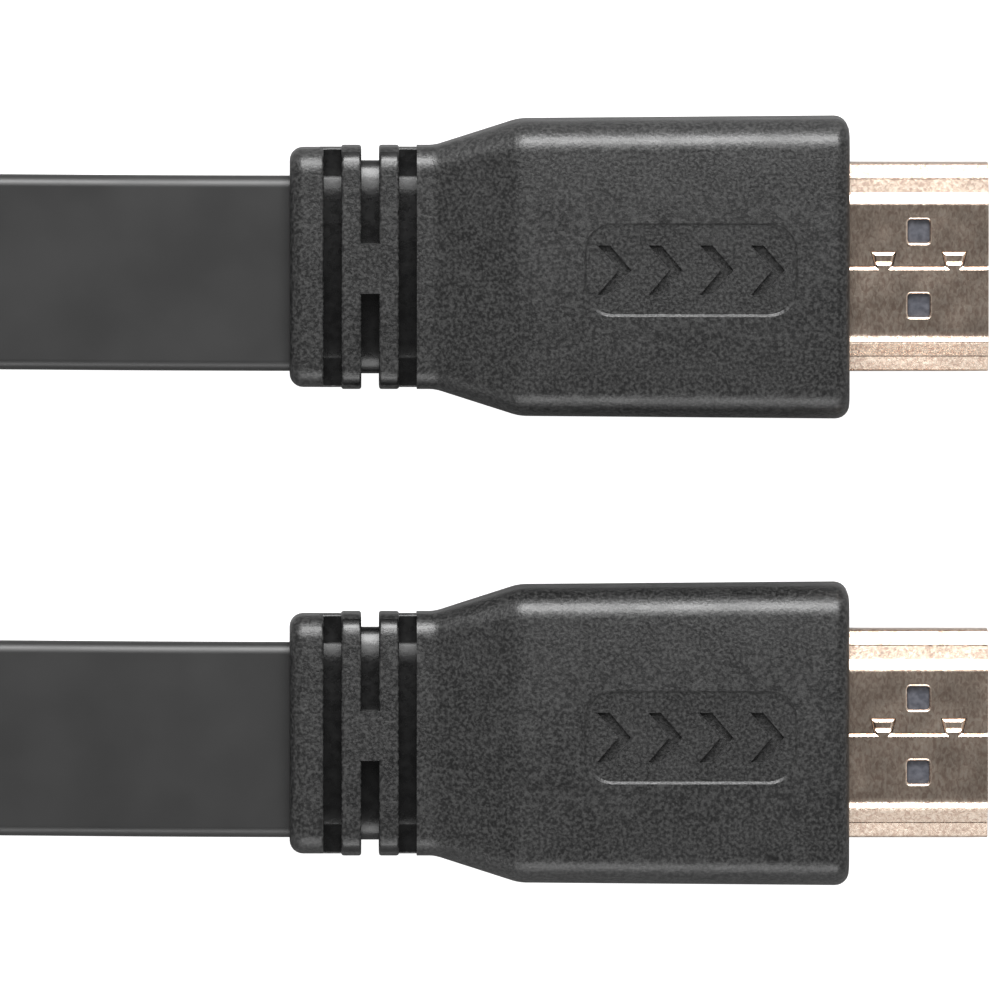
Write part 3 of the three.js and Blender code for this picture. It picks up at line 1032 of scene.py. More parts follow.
@dataclass
class Sleeve:
    """The plug's folded shell, with its narrow face up. Sizes are in millimetres."""

    rear_x: float
    tip_x: float
    axis_z: float
    width: float
    height: float
    sheet: float = 0.3
    face: float = 8.7
    bend_width: float = 0.58
    bend_drop: float = 0.22
    facet_width: float = 0.97
    facet_drop: float = 0.88
    shoulder_drop: float = 0.8
    corner: float = 0.3
    bend_radius: float = 0.2
    bore_radius: float = 0.07
    tip_radius: float = 0.06
    window_length: float = 1.44
    window_width: float = 1.52
    window_spacing: float = 4.94
    window_setback: float = 4.66
    window_radius: float = 0.2
    seam: float = 0.05
    seam_y: float = 0.12
    dovetails: tuple[float, ...] = (7.0, 2.3)
    dovetail_root: float = 1.2
    dovetail_top: float = 1.66
    dovetail_reach: float = 0.98
    rim: float = 0.19
    lip_width: float = 0.22
    lip_depth: float = 0.13
    lip_side: float = -1.0
    score_width: float = 0.07
    score_depth: float = 0.12
    stake_top: float = 0.36
    stake_depth: float = 0.13
    stake_slope: float = 0.26
    stake_half: float = 0.5

    def outline(self, grow: float) -> list[tuple[float, float]]:
        """The section across the plug, moved outward or inward.

        Args:
            grow: How far each wall is moved outward.

        Returns:
            The section's corners, y and z, anticlockwise.
        """
        half, top = self.width / 2, self.height / 2
        bend_end = self.face / 2 + self.bend_width
        facet_end = bend_end + self.facet_width
        foot = top - self.bend_drop - self.facet_drop
        right = [
            (half - self.corner, -top), (half, -top + self.corner), (half, foot - self.shoulder_drop),
            (facet_end, foot), (bend_end, top - self.bend_drop), (self.face / 2, top),
        ]
        corners = [Vector((y, z)) for y, z in right] + [Vector((-y, z)) for y, z in reversed(right)]
        moved = []
        for i, corner in enumerate(corners):
            before, after = corners[i - 1], corners[(i + 1) % len(corners)]
            first = Vector((corner.y - before.y, before.x - corner.x)).normalized()
            second = Vector((after.y - corner.y, corner.x - after.x)).normalized()
            between = first + second
            place = corner + between * (2 * grow / between.length_squared)
            moved.append((place.x, place.y + self.axis_z))
        return moved

    def prism(
        self, name: str, grow: float, x0: float, x1: float, radius: float = 0.0, segments: int = 3
    ) -> bpy.types.Object:
        """The section as a solid bar, with its long edges rounded as the sheet's bends are.

        Args:
            name: The new object's name.
            grow: How far each wall is moved outward.
            x0: Where it starts.
            x1: Where it ends.
            radius: The rounding of the long edges, or 0 for none.
            segments: Steps in the rounding.

        Returns:
            The bar.
        """
        piece = trace(name, [mm(x0, y, z) for y, z in self.outline(grow)], True)
        pull(piece, Pick.FACES, Vector(mm(x1 - x0, 0, 0)))
        if radius:
            with editing(piece, Pick.EDGES):
                choose(piece, Pick.EDGES, lambda co, d: abs(d.x) > 0.9)
                bpy.ops.mesh.bevel(offset=radius * MM, segments=segments, affect="EDGES")
        return piece

    def windows(self) -> list[bpy.types.Object]:
        """Cutters for the two windows, through both faces.

        Returns:
            The cutters.
        """
        x = self.tip_x - self.window_setback
        cutters = []
        for side in (-1, 1):
            y = side * self.window_spacing / 2
            low = mm(x - self.window_length / 2, y - self.window_width / 2, self.axis_z - self.height)
            high = mm(x + self.window_length / 2, y + self.window_width / 2, self.axis_z + self.height)
            piece = block("window_cutter", low, high)
            with editing(piece, Pick.EDGES):
                choose(piece, Pick.EDGES, lambda co, d: abs(d.z) > 0.9)
                bpy.ops.mesh.bevel(offset=self.window_radius * MM, segments=4, affect="EDGES")
            cutters.append(piece)
        return cutters

    def seam_line(self, z: float) -> list[Point]:
        """The seam's line along the narrow face, round each dovetail.

        Args:
            z: The height of the line, in millimetres.

        Returns:
            Its points, in metres.
        """
        low, high = self.seam_y, self.seam_y + self.dovetail_reach
        line = [(self.rear_x - 1, low)]
        for setback in self.dovetails:
            x = self.tip_x - setback
            line += [
                (x - self.dovetail_root / 2, low), (x - self.dovetail_top / 2, high),
                (x + self.dovetail_top / 2, high), (x + self.dovetail_root / 2, low),
            ]
        line.append((self.tip_x + 1, low))
        return [mm(x, y, z) for x, y in line]

    def seam_cutter(self) -> bpy.types.Object:
        """A thin upright blade along the seam and round each dovetail.

        Returns:
            The cutter.
        """
        piece = trace("seam_cutter", self.seam_line(self.axis_z + self.height / 2 - 2 * self.sheet), False)
        pull(piece, Pick.EDGES, Vector(mm(0, 0, 3 * self.sheet)))
        finish_with(piece, "SOLIDIFY", thickness=self.seam * MM, offset=0.0, use_even_offset=True)
        return piece

    def lip_cutter(self) -> bpy.types.Object:
        """A wedge along the seam that slopes the edge of the half with the dovetails.

        Returns:
            The cutter.
        """
        above = 0.1
        base = self.axis_z + self.height / 2 - self.lip_depth
        piece = trace("lip_cutter", self.seam_line(base), False)
        pull(piece, Pick.EDGES, Vector(mm(0, 0, self.lip_depth + above)))
        wide = piece.vertex_groups.new(name="wide")
        wide.add([v.index for v in piece.data.vertices if v.co.z > (base + 0.01) * MM], 1.0, "REPLACE")
        thickness = self.lip_width * (self.lip_depth + above) / self.lip_depth
        finish_with(
            piece, "SOLIDIFY", thickness=thickness * MM, offset=self.lip_side, use_even_offset=True,
            vertex_group="wide", thickness_vertex_group=0.0,
        )
        recalculate(piece)
        return piece

    def score_lines(self) -> list[bpy.types.Object]:
        """Thin blades that score the sheet along its bends.

        Returns:
            The cutters.
        """
        corners = self.outline(0.0)
        cutters = []
        for y, z in (*corners[3:5], *corners[7:9]):
            low = mm(self.rear_x - 1, y - self.score_width / 2, z - self.score_depth)
            cutters.append(block("score_cutter", low, mm(self.tip_x + 1, y + self.score_width / 2, z + 0.3)))
        return cutters

    def stakes(self) -> list[bpy.types.Object]:
        """Cutters for the small sloping dents that stake each dovetail.

        Returns:
            The cutters.
        """
        top = self.axis_z + self.height / 2
        high, deep, half = self.seam_y + self.stake_top, self.stake_depth, self.stake_half
        low = high - 2 * self.stake_slope - 0.02
        cutters = []
        for setback in self.dovetails:
            x = self.tip_x - setback
            piece = block("stake_cutter", mm(x - half, low, top - deep), mm(x + half, high, top + deep))
            with editing(piece, Pick.VERTS):
                choose(piece, Pick.VERTS, lambda co, n: co.z < top * MM and co.y < (low + 0.01) * MM)
                bpy.ops.transform.translate(value=mm(0, 2 * self.stake_slope, 0))
            cutters.append(piece)
        return cutters

    def build(self) -> bpy.types.Object:
        """The shell, with windows, seam and rounded sheet edges.

        Returns:
            The finished shell.
        """
        piece = self.prism("shell_sheet", 0.0, self.rear_x, self.tip_x, self.bend_radius, 4)
        bore = self.prism("bore", -self.sheet, self.rear_x - 1, self.tip_x + 1, self.bore_radius)
        cut_away(piece, bore)
        seam = [self.lip_cutter(), self.seam_cutter(), *self.stakes(), *self.score_lines()]
        for cutter in [*self.windows(), *seam]:
            cut_away(piece, cutter)
        top = (self.axis_z + self.height / 2) * MM
        bottom = (self.axis_z - self.height / 2) * MM
        window_x = (self.tip_x - self.window_setback) * MM
        reach = (self.window_length / 2 + 0.05) * MM

        def by_window(place: Vector) -> bool:
            """Whether a point is on the rim of a window."""
            on_face = min(abs(place.z - top), abs(place.z - bottom)) < 1e-6
            return on_face and abs(place.x - window_x) < reach and 1.2 * MM < abs(place.y) < 3.5 * MM

        split_faces(piece, lambda co, n: abs(n.x) > 0.99)
        rims = round_edges(piece, self.rim * MM, 4, lambda co, d: by_window(co))
        tip = round_edges(piece, self.tip_radius * MM, 2, lambda co, d: co.x > self.tip_x * MM - 1e-6)
        LOG.info("shell: %d window edges and %d tip edges rounded", rims, tip)
        recalculate(piece)
        smooth(piece, 24.0)
        return piece


@dataclass
class Carrier:
    """The plastic contact carrier in the shell, with its slot. Sizes are in millimetres."""

    sleeve: Sleeve
    setback: float = 0.5
    gap: float = 0.1
    slot_width: float = 11.3
    slot_height: float = 1.9
    slot_depth: float = 9.5
    slot_radius: float = 0.15
    front_radius: float = 0.08
    pitch: float = 1.0
    contact_width: float = 0.45
    contact_thickness: float = 0.16
    contact_length: float = 8.2
    contact_setback: float = 0.9
    contact_gap: float = 0.03
    contact_bend: float = 0.35
    contact_radius: float = 0.035

    @property
    def front_x(self) -> float:
        """The carrier's front face."""
        return self.sleeve.tip_x - self.setback

    def count(self, row: Row) -> int:
        """How many contacts a row has."""
        return 10 if row is Row.WIDE else 9

    def places(self, row: Row) -> list[float]:
        """Where a row's contacts stand across the plug, in millimetres."""
        count = self.count(row)
        return [(number - (count - 1) / 2) * self.pitch for number in range(count)]

    def build(self) -> bpy.types.Object:
        """The carrier, with the slot that the contacts lie in.

        Returns:
            The finished carrier.
        """
        sleeve = self.sleeve
        piece = sleeve.prism("contact_carrier", -sleeve.sheet - self.gap, sleeve.rear_x, self.front_x)
        half = self.slot_height / 2
        slot = block(
            "slot_cutter",
            mm(self.front_x - self.slot_depth, -self.slot_width / 2, sleeve.axis_z - half),
            mm(self.front_x + 1, self.slot_width / 2, sleeve.axis_z + half),
            self.slot_radius * MM,
        )
        cut_away(piece, slot)
        split_faces(piece, lambda co, n: n.x > 0.99)
        round_edges(piece, self.front_radius * MM, 2, lambda co, d: co.x > self.front_x * MM - 1e-6)
        recalculate(piece)
        smooth(piece)
        return piece

    def contact(self, row: Row) -> bpy.types.Object:
        """One contact strip on the plug's centre line, with a bent-in tip and rounded edges.

        Args:
            row: The row that it belongs to.

        Returns:
            The strip.
        """
        side = -1 if row is Row.WIDE else 1
        wall = self.sleeve.axis_z + side * (self.slot_height / 2 - self.contact_gap)
        free = wall - side * self.contact_thickness
        front = self.front_x - self.contact_setback
        half = self.contact_width / 2
        low = mm(front - self.contact_length, -half, min(wall, free))
        high = mm(front, half, max(wall, free))
        piece = block(f"contact_{row.value}", low, high)
        with editing(piece, Pick.VERTS):
            choose(piece, Pick.VERTS, lambda co, n: max(abs(co.x - high[0]), abs(co.z - free * MM)) < 1e-6)
            bpy.ops.transform.translate(value=mm(-self.contact_bend, 0, 0))
            bpy.ops.mesh.select_mode(type="EDGE")
            bpy.ops.mesh.select_all(action="SELECT")
            bpy.ops.mesh.bevel(offset=self.contact_radius * MM, segments=2, affect="EDGES")
        recalculate(piece)
        smooth(piece)
        return piece


@dataclass
class Plug:
    """Both plugs, measured from the CAD nodes. Sizes are in millimetres.

    Attributes:
        wardrobe: The finishes.
        pieces: Each piece on the plug's own axis, to be copied.
        models: The moulding and the carrier, once they are measured.
    """

    wardrobe: Wardrobe
    pieces: dict[str, bpy.types.Object] = field(default_factory=dict)
    models: tuple[Moulding, Carrier] | None = None
    front_trim: float = 0.2
    pocket_gap: float = 0.1
    pocket_depth: float = 0.3
    socket_near: float = 0.31
    socket_far: float = 0.55
    socket_gap: float = 0.12
    socket_depth: float = 1.5

    def build(self) -> None:
        """Models every piece round the plug's own axis, once for both plugs."""
        low, high = (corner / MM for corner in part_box("overmould_a"))
        shell_low, shell_high = (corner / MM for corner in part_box("shell_a"))
        axis_z = (low.z + high.z) / 2
        sleeve = Sleeve(
            rear_x=shell_low.x, tip_x=shell_high.x, axis_z=axis_z,
            width=shell_high.y - shell_low.y, height=shell_high.z - shell_low.z,
        )
        moulding = Moulding(
            rear_x=low.x, front_x=high.x, axis_z=axis_z, thickness=high.z - low.z,
            front_width=high.y - low.y - self.front_trim,
        )
        carrier = Carrier(sleeve)
        pocket = sleeve.prism("pocket_cutter", self.pocket_gap, sleeve.rear_x - self.pocket_depth, high.x + 1)
        side, rise = FlatCable.width / 2, FlatCable.thickness / 2 + self.socket_gap
        socket = block(
            "socket_cutter",
            mm(low.x - 1, -side - self.socket_far, axis_z - rise),
            mm(low.x + self.socket_depth, side - self.socket_near, axis_z + rise),
        )
        engraving = Engraving(front_x=high.x, top_z=high.z)
        self.pieces["moulding"] = moulding.build([pocket, socket, *engraving.cutters()])
        self.pieces["shell_sheet"] = sleeve.build()
        self.pieces["contact_carrier"] = carrier.build()
        for row in Row:
            self.pieces[row.value] = carrier.contact(row)
        self.models = (moulding, carrier)

    def place(self, end: End) -> None:
        """Copies every piece to one end's plug and dresses it.

        Args:
            end: Which end of the cable.
        """
        moulding, carrier = self.models
        low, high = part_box(f"overmould_{end.value}")
        step = Vector((0, (low.y + high.y) / 2, 0))
        kinds = [
            ("moulding", "overmould", GrainedPvc()),
            ("shell_sheet", "shell", RolledGilt()),
            ("contact_carrier", "carrier", CarrierPlastic()),
        ]
        for key, node, finish in kinds:
            piece = copied(self.pieces[key], f"{key}_{end.value}", step)
            self.wardrobe.put_on(piece, finish)
            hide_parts(f"{node}_{end.value}")
            LOG.info("%s: %d faces", piece.name, len(piece.data.polygons))
            if key == "moulding":
                # The groove faces wear the darker finish: painted shade in the recesses.
                count = self.wardrobe.trim(piece, ShadedGroovePvc(), lambda co: moulding.in_groove(co - step))
                LOG.info("%s: %d faces in the grooves", piece.name, count)
        for row in Row:
            for number, y in enumerate(carrier.places(row), start=1):
                place = f"{row.value}_{number}_{end.value}"
                piece = copied(self.pieces[row.value], f"strip_{place}", step + Vector(mm(0, y, 0)))
                self.wardrobe.put_on(piece, ContactGold())
                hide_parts(f"contact_{place}")
        LOG.info("contacts of plug %s placed", end.value)

    def clear(self) -> None:
        """Removes the models that the plugs were copied from."""
        for piece in self.pieces.values():
            bpy.data.objects.remove(piece)


@dataclass
class FlatCable:
    """The flat cable from one plug through the coil to the other. Sizes are in millimetres."""

    wardrobe: Wardrobe
    width: float = 13.0
    thickness: float = 2.2
    edge_radius: float = 0.75
    length: float = 1800.0
    centre_x: float = -177.0
    inner_turn: float = 25.0
    pitch: float = 4.65
    turns_a: float = 2.81
    turns_b: float = 3.25
    middle_degrees: float = 57.0
    entry_radius: float = 36.0
    tie_degrees: float = -75.0
    tie_rise: float = 0.85
    tie_spread: float = 26.0
    coil_reach: float = 57.5
    coil_front_x: float = -110.0
    smoothing: int = 6
    step: float = 2.0

    def route(self, end: End) -> list[Point]:
        """The free stretch's points, from the plug to the coil.

        Args:
            end: Which end of the cable.

        Returns:
            The points in millimetres.
        """
        if end is End.A:
            return [
                (-22.05, 15.12, 5.25), (-32, 15.12, 4.7), (-43, 15.15, 3.7), (-55, 15.2, 3.6),
                (-68, 15.3, 5.5), (-80, 15.45, 6.65), (-92.4, 15.55, 6.5), (-104.8, 13.4, 6.5),
                (-113, 9.1, 6.5), (-119.3, 3.5, 6.5),
            ]
        return [
            (-22.05, -15.98, 5.25), (-32, -15.98, 4.7), (-43, -15.95, 3.7), (-57, -15.9, 3.6),
            (-72, -15.75, 5.8), (-86, -15.6, 6.65), (-101.7, -15.55, 6.5), (-114, -17.7, 6.5),
            (-124.2, -23.4, 6.5),
        ]

    def twist(self, end: End) -> tuple[float, float]:
        """Where along X a free stretch turns from lying flat to standing on its edge."""
        return (-46.0, -88.0) if end is End.A else (-46.0, -92.0)

    def free_line(self, end: End) -> list[Vector]:
        """A smooth line through the free stretch's points.

        Args:
            end: Which end of the cable.

        Returns:
            The line's points, from the plug to the coil.
        """
        points = [Vector(p) for p in self.route(end)]
        padded = [2 * points[0] - points[1], *points, 2 * points[-1] - points[-2]]
        line = []
        for i in range(len(points) - 1):
            p0, p1, p2, p3 = padded[i:i + 4]
            knots = [0.0]
            for a, b in ((p0, p1), (p1, p2), (p2, p3)):
                knots.append(knots[-1] + math.sqrt((b - a).length))
            t0, t1, t2, t3 = knots
            count = max(2, round((p2 - p1).length / self.step))
            for j in range(count):
                t = t1 + (t2 - t1) * j / count
                a1 = p0 * ((t1 - t) / (t1 - t0)) + p1 * ((t - t0) / (t1 - t0))
                a2 = p1 * ((t2 - t) / (t2 - t1)) + p2 * ((t - t1) / (t2 - t1))
                a3 = p2 * ((t3 - t) / (t3 - t2)) + p3 * ((t - t2) / (t3 - t2))
                b1 = a1 * ((t2 - t) / (t2 - t0)) + a2 * ((t - t0) / (t2 - t0))
                b2 = a2 * ((t3 - t) / (t3 - t1)) + a3 * ((t - t1) / (t3 - t1))
                line.append(b1 * ((t2 - t) / (t2 - t1)) + b2 * ((t - t1) / (t2 - t1)))
        return [*line, points[-1]]

    def turn_line(self, end: End) -> list[Vector]:
        """One end's wound turns, from where it leaves the coil in to the S at the centre.

        Args:
            end: Which end of the cable.

        Returns:
            The turns' points, from the outside in.
        """
        turns = self.turns_a if end is End.A else self.turns_b
        start = math.radians(self.middle_degrees) + (0.0 if end is End.A else math.pi)
        whole = 2 * math.pi * turns
        growth = self.pitch / math.pi
        line = []
        angle = 0.0
        while angle < whole:
            radius = self.inner_turn + growth * angle
            x, y = radius * math.cos(start + angle), radius * math.sin(start + angle)
            line.append(Vector((self.centre_x + x, y, self.width / 2)))
            angle += self.step / radius
        line.reverse()
        return line

    def entry_line(self, free_end: Vector, first_turn: Vector) -> list[Vector]:
        """The arc that leads from a free stretch into the outermost turn.

        Args:
            free_end: Where the free stretch ends.
            first_turn: Where the outermost turn starts.

        Returns:
            The arc's points between the two.
        """
        centre = Vector((self.centre_x, 0, first_turn.z))
        out = (first_turn - centre).normalized()
        hub = centre + out * ((first_turn - centre).length + self.entry_radius)
        start = math.atan2(free_end.y - hub.y, free_end.x - hub.x)
        stop = math.atan2(first_turn.y - hub.y, first_turn.x - hub.x) % (2 * math.pi)
        count = max(2, round(abs(stop - start) * self.entry_radius / self.step))
        return [
            hub + self.entry_radius * Vector((
                math.cos(start + (stop - start) * i / count), math.sin(start + (stop - start) * i / count), 0
            ))
            for i in range(1, count)
        ]

    def middle_line(self) -> list[Vector]:
        """The S of two half circles at the coil's centre, from end a's turns to end b's.

        Returns:
            The points between the two innermost turns.
        """
        radius = self.inner_turn / 2
        lean = math.radians(self.middle_degrees)
        count = round(math.pi * radius / self.step)
        line = []
        for i in range(1, 2 * count):
            side = 1 if i < count else -1
            angle = math.pi * (i if i < count else 2 * count - i) / count
            x = side * radius * (1 + math.cos(angle))
            y = -side * radius * math.sin(angle)
            line.append(Vector((
                self.centre_x + x * math.cos(lean) - y * math.sin(lean),
                x * math.sin(lean) + y * math.cos(lean),
                self.width / 2,
            )))
        return line

    def centreline(self) -> list[Vector]:
        """The whole cable's centreline, lifted a little where it rides over the tie.

        Returns:
            The points in millimetres, from plug a to plug b.
        """
        halves = {}
        for end in End:
            free, turns = self.free_line(end), self.turn_line(end)
            halves[end] = [*free, *self.entry_line(free[-1], turns[0]), *turns]
        line = [*halves[End.A], *self.middle_line(), *reversed(halves[End.B])]
        for _ in range(self.smoothing):
            line = [line[0], *((a + 2 * b + c) / 4 for a, b, c in zip(line, line[1:], line[2:])), line[-1]]
        for place in line:
            radius = math.hypot(place.x - self.centre_x, place.y)
            if self.inner_turn - 2 < radius < self.coil_reach and place.x < self.coil_front_x:
                angle = math.atan2(place.y, place.x - self.centre_x) - math.radians(self.tie_degrees)
                away = abs((angle + math.pi) % (2 * math.pi) - math.pi) * radius
                if away < self.tie_spread:
                    place.z += self.tie_rise * (0.5 + 0.5 * math.cos(math.pi * away / self.tie_spread))
        return line

    def roll(self, place: Vector) -> float:
        """How far the cable is turned onto its edge.

        Args:
            place: A point of its centreline.

        Returns:
            The angle in radians.
        """
        begin, stop = self.twist(End.A if place.y > 0 else End.B)
        share = min(1.0, max(0.0, (begin - place.x) / (begin - stop)))
        return share * share * (3 - 2 * share) * math.pi / 2

    def section(self) -> list[tuple[float, float]]:
        """The jacket's section: flat faces and rounded edges.

        Returns:
            Its points, across and through the cable.
        """
        radius = self.edge_radius
        reach, rise = self.width / 2 - radius, self.thickness / 2 - radius
        points = []
        for side in (1, -1):
            for corner in (-1, 1):
                for i in range(5):
                    angle = math.pi / 2 * (i / 4 + (corner - 1) / 2)
                    points.append((
                        side * (reach + radius * math.cos(angle)),
                        side * (corner * rise + radius * math.sin(angle)),
                    ))
        return points

    def build(self, tie: bpy.types.Object) -> bpy.types.Object:
        """Args:
            tie: The tie that goes with it. Not used.

        Returns:
            The cable.
        """
        line = self.centreline()
        up = Vector((0, 0, 1))
        section = self.section()
        verts, faces = [], []
        for i, place in enumerate(line):
            along = (line[min(i + 1, len(line) - 1)] - line[max(i - 1, 0)]).normalized()
            side = up.cross(along).normalized()
            over = along.cross(side)
            angle = self.roll(place)
            for across, through in section:
                spot = place + side * (across * math.cos(angle) - through * math.sin(angle))
                spot += over * (across * math.sin(angle) + through * math.cos(angle))
                verts.append(spot * MM)
        ring = len(section)
        for i in range(len(line) - 1):
            for j in range(ring):
                k = (j + 1) % ring
                faces.append((i * ring + j, i * ring + k, (i + 1) * ring + k, (i + 1) * ring + j))
        faces += [tuple(reversed(range(ring))), tuple(range(len(verts) - ring, len(verts)))]
        mesh = bpy.data.meshes.new("flat_cable")
        mesh.from_pydata(verts, [], faces)
        piece = bpy.data.objects.new("flat_cable", mesh)
        bpy.context.collection.objects.link(piece)
        recalculate(piece)
        smooth(piece, 60.0)
        self.wardrobe.put_on(piece, SatinPvc())
        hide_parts("cable_run_a", "cable_run_b", "cable_middle", "cable_coil")
        total = sum((b - a).length for a, b in zip(line, line[1:]))
        LOG.info("%s: %.0f mm long", piece.name, total)
        return piece


@dataclass
class WireTie:
    """The coated wire tie round the coil, with its ends twisted together. Sizes are in millimetres."""

    wardrobe: Wardrobe
    centre_x: float = -177.0
    degrees: float = -75.0
    width: float = 4.0
    coating: float = 0.55
    inner_radius: float = 24.6
    outer_radius: float = 55.9
    top: float = 14.1
    corner: float = 1.6
    tail: float = 9.0
    tail_turns: float = 3.0
    wire: float = 1.3
    wire_gap: float = 0.04
    slices: int = 24
    clearance: float = 0.3
    rounding: float = 0.15

    def loop(self) -> bpy.types.Object:
        """The strip round the coil's section.

        Returns:
            The loop, drawn along X.
        """
        near, far = self.inner_radius - self.clearance, self.outer_radius + self.clearance
        corners = [(near, 0.0), (far, 0.0), (far, self.top), (near, self.top)]
        piece = trace("wire_tie", [mm(x, -self.width / 2, z) for x, z in corners], True)
        with editing(piece, Pick.VERTS, whole=True):
            bpy.ops.mesh.bevel(offset=self.corner * MM, segments=6, affect="VERTICES")
            bpy.ops.mesh.select_mode(type="FACE")
            bpy.ops.mesh.select_all(action="SELECT")
            bpy.ops.mesh.delete(type="ONLY_FACE")
        for share in (0.375, 0.25, 0.375):
            with editing(piece, Pick.EDGES) as mesh:
                edge_y = max(edge.verts[0].co.y for edge in mesh.edges)
                choose(piece, Pick.EDGES, lambda co, d: abs(co.y - edge_y) < 1e-6 and abs(d.y) < 0.1)
                bpy.ops.mesh.extrude_edges_move(
                    TRANSFORM_OT_translate={"value": mm(0, share * self.width, 0)}
                )
        recalculate(piece)
        finish_with(piece, "SOLIDIFY", thickness=self.coating * MM, offset=-1.0, use_even_offset=True)
        finish_with(
            piece, "BEVEL", width=self.rounding * MM, segments=3, limit_method="ANGLE",
            angle_limit=math.radians(50.0), use_clamp_overlap=True, harden_normals=False,
        )
        return piece

    def build(self) -> bpy.types.Object:
        """The tie, turned to its place on the coil and dressed.

        Returns:
            The finished tie.
        """
        piece = self.loop()
        start = self.outer_radius + self.clearance
        half = self.wire / 2
        tail = block(
            "tail", mm(start - 0.2, self.wire_gap, self.top / 2 - half),
            mm(start + self.tail, self.wire, self.top / 2 + half), 0.45 * self.wire * MM,
        )
        copied(tail, "second_wire", Vector(mm(0, -self.wire - self.wire_gap, 0)))
        tail.select_set(True)
        bpy.context.view_layer.objects.active = tail
        bpy.ops.object.join()
        for i in range(1, self.slices):
            cut = mm(start + self.tail * i / self.slices, 0, 0)
            with editing(tail, Pick.FACES, whole=True):
                bpy.ops.mesh.bisect(plane_co=cut, plane_no=(1, 0, 0), use_fill=False)
        tail.data.transform(Matrix.Translation(mm(-start, 0, -self.top / 2)))
        finish_with(
            tail, "SIMPLE_DEFORM", deform_method="TWIST", deform_axis="X",
            angle=self.tail_turns * math.pi,
        )
        tail.data.transform(Matrix.Translation(mm(start, 0, self.top / 2)))
        join_solid(piece, tail)
        piece.rotation_euler = (0, 0, math.radians(self.degrees))
        piece.location = mm(self.centre_x, 0, 0)
        settle(piece)
        recalculate(piece)
        smooth(piece, 40.0)
        self.wardrobe.put_on(piece, TieCoating())
        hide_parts("cable_tie")
        LOG.info("%s: %d faces", piece.name, len(piece.data.polygons))
        return piece


@dataclass(frozen=True)
class SoftBox:
    """A soft box that faces the plugs.

    Attributes:
        name: Its name.
        bearing: Its direction from the plugs, in degrees from +X towards +Y.
        height: Its elevation, in degrees.
        spread: How wide and how tall it looks from the plugs, in degrees.
        radiance: How bright its face is, where 1 is the white of the picture.
        distance: How far away it hangs, in metres.
    """

    name: str
    bearing: float
    height: float
    spread: tuple[float, float]
    radiance: float
    distance: float = 0.9

    def hang(self, target: Vector) -> None:
        """Hangs the box and aims it.

        Args:
            target: Where it aims.
        """
        data = bpy.data.lights.new(self.name, "AREA")
        data.shape = "RECTANGLE"
        data.size, data.size_y = (
            2 * self.distance * math.tan(math.radians(degrees / 2)) for degrees in self.spread
        )
        data.energy = self.radiance * math.pi * data.size * data.size_y
        lamp = bpy.data.objects.new(self.name, data)
        bpy.context.collection.objects.link(lamp)
        turn, rise = math.radians(self.bearing), math.radians(self.height)
        way = Vector((math.cos(turn) * math.cos(rise), math.sin(turn) * math.cos(rise), math.sin(rise)))
        lamp.location = target + way * self.distance
        lamp.rotation_euler = way.to_track_quat("Z", "Y").to_euler()


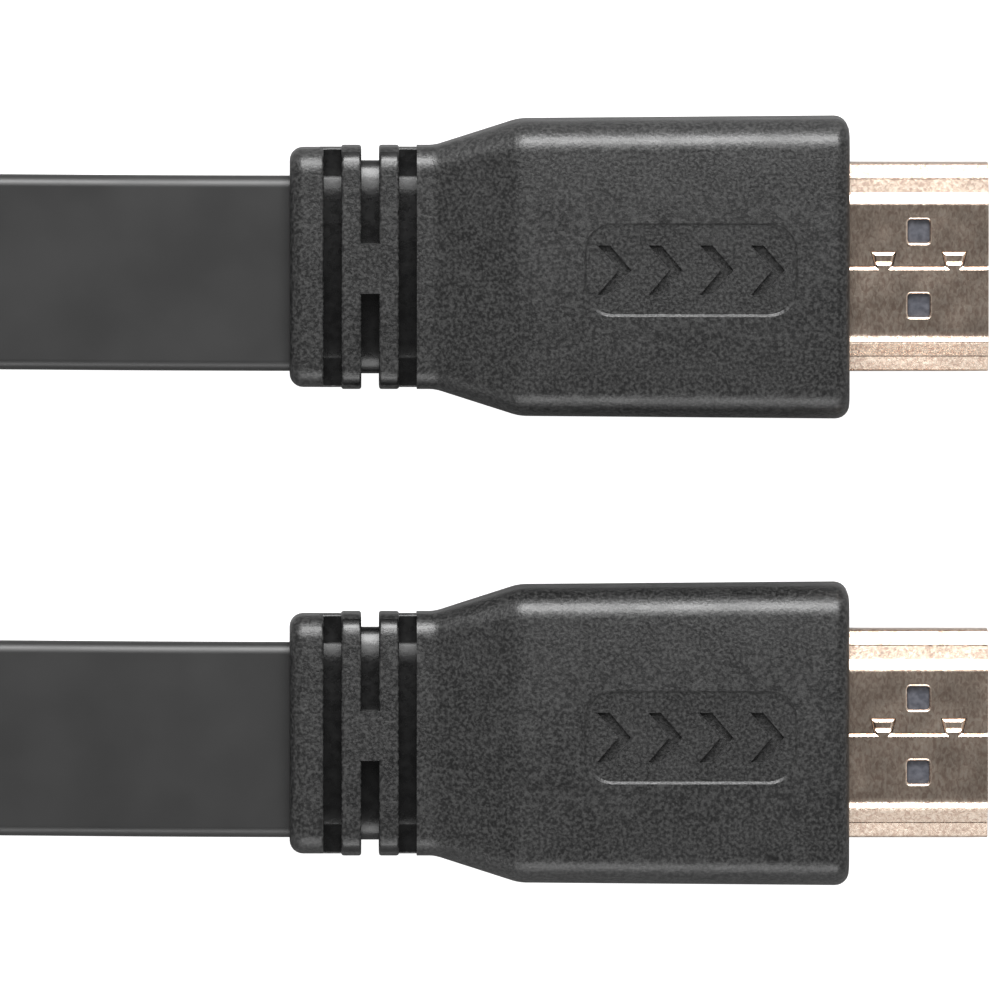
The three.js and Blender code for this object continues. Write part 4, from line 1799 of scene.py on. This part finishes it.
@dataclass
class Studio:
    """The light table, the lights and the camera. Sizes are in metres."""

    view_width: float = 0.0666
    view_x: float = -0.00924
    view_y: float = 0.0
    view_z: float = 0.00525
    lens: float = 1200.0
    sensor: float = 36.0
    lean_x: float = -0.5
    lean_y: float = 3.0
    sky: tuple[tuple[float, float], ...] = (
        (0.0, 0.95), (0.25, 0.75), (0.55, 0.4), (0.9, 0.22), (0.97, 0.19), (1.0, 0.12),
    )
    boxes: tuple[SoftBox, ...] = (
        SoftBox("key_box", 90.0, 37.0, (36.0, 28.0), 19.0),
        SoftBox("upper_box", 90.0, 62.0, (36.0, 22.0), 5.0),
        SoftBox("fill_box", -90.0, 34.0, (50.0, 24.0), 5.0),
    )

    def camera(self) -> None:
        """A long lens almost straight above the plugs, leaning a little to -X and +Y."""
        data = bpy.data.cameras.new("camera")
        data.type = "PERSP"
        data.lens = self.lens
        data.sensor_width = self.sensor
        data.clip_start, data.clip_end = 0.05, 20.0
        camera = bpy.data.objects.new("camera", data)
        bpy.context.collection.objects.link(camera)
        camera.rotation_mode = "YXZ"
        camera.rotation_euler = (-math.radians(self.lean_y), math.radians(self.lean_x), 0)
        distance = self.view_width * self.lens / self.sensor
        back = camera.rotation_euler.to_quaternion() @ Vector((0, 0, 1))
        camera.location = Vector((self.view_x, self.view_y, self.view_z)) + back * distance
        bpy.context.scene.camera = camera

    def table(self) -> None:
        """A pale floor that glows for the camera alone: it looks white and doesn't light the object."""
        bpy.ops.object.select_all(action="DESELECT")
        bpy.ops.mesh.primitive_plane_add(size=6.0, location=(0, 0, -0.0002))
        table = bpy.context.object
        table.name = "light_table"
        material = bpy.data.materials.new("light_table")
        material.use_nodes = True
        tree = material.node_tree
        shader = tree.nodes["Principled BSDF"]
        shader.inputs["Base Color"].default_value = (0.3, 0.3, 0.3, 1)
        shader.inputs["Roughness"].default_value = 0.9
        shader.inputs["Specular IOR Level"].default_value = 0.0
        shader.inputs["Emission Color"].default_value = (0.97, 0.97, 0.97, 1)
        ray = tree.nodes.new("ShaderNodeLightPath")
        tree.links.new(ray.outputs["Is Camera Ray"], shader.inputs["Emission Strength"])
        table.data.materials.append(material)

    def world(self) -> None:
        """A dim room, darkest overhead and paler at the horizon."""
        world = bpy.data.worlds.new("room")
        bpy.context.scene.world = world
        world.use_nodes = True
        tree = world.node_tree
        direction = tree.nodes.new("ShaderNodeTexCoord")
        split = tree.nodes.new("ShaderNodeSeparateXYZ")
        ramp = tree.nodes.new("ShaderNodeValToRGB")
        fill_ramp(ramp, [(place, (grey, grey, grey)) for place, grey in self.sky])
        background = tree.nodes["Background"]
        tree.links.new(direction.outputs["Generated"], split.inputs["Vector"])
        tree.links.new(split.outputs["Z"], ramp.inputs["Fac"])
        tree.links.new(ramp.outputs["Color"], background.inputs["Color"])

    def build(self) -> None:
        """Sets up the whole studio."""
        self.camera()
        self.table()
        self.world()
        for box in self.boxes:
            box.hang(Vector((self.view_x, 0, 0)))
        bpy.context.scene.view_settings.view_transform = "Standard"


def main() -> None:
    """Builds the studio, the cable, the tie and the plugs in order."""
    logging.basicConfig(level=logging.INFO, format="%(name)s: %(message)s")
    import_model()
    wardrobe = Wardrobe()
    Studio().build()
    tie = WireTie(wardrobe).build()
    FlatCable(wardrobe).build(tie)
    plug = Plug(wardrobe)
    plug.build()
    for end in End:
        plug.place(end)
    plug.clear()


if __name__ == "__main__":
    main()
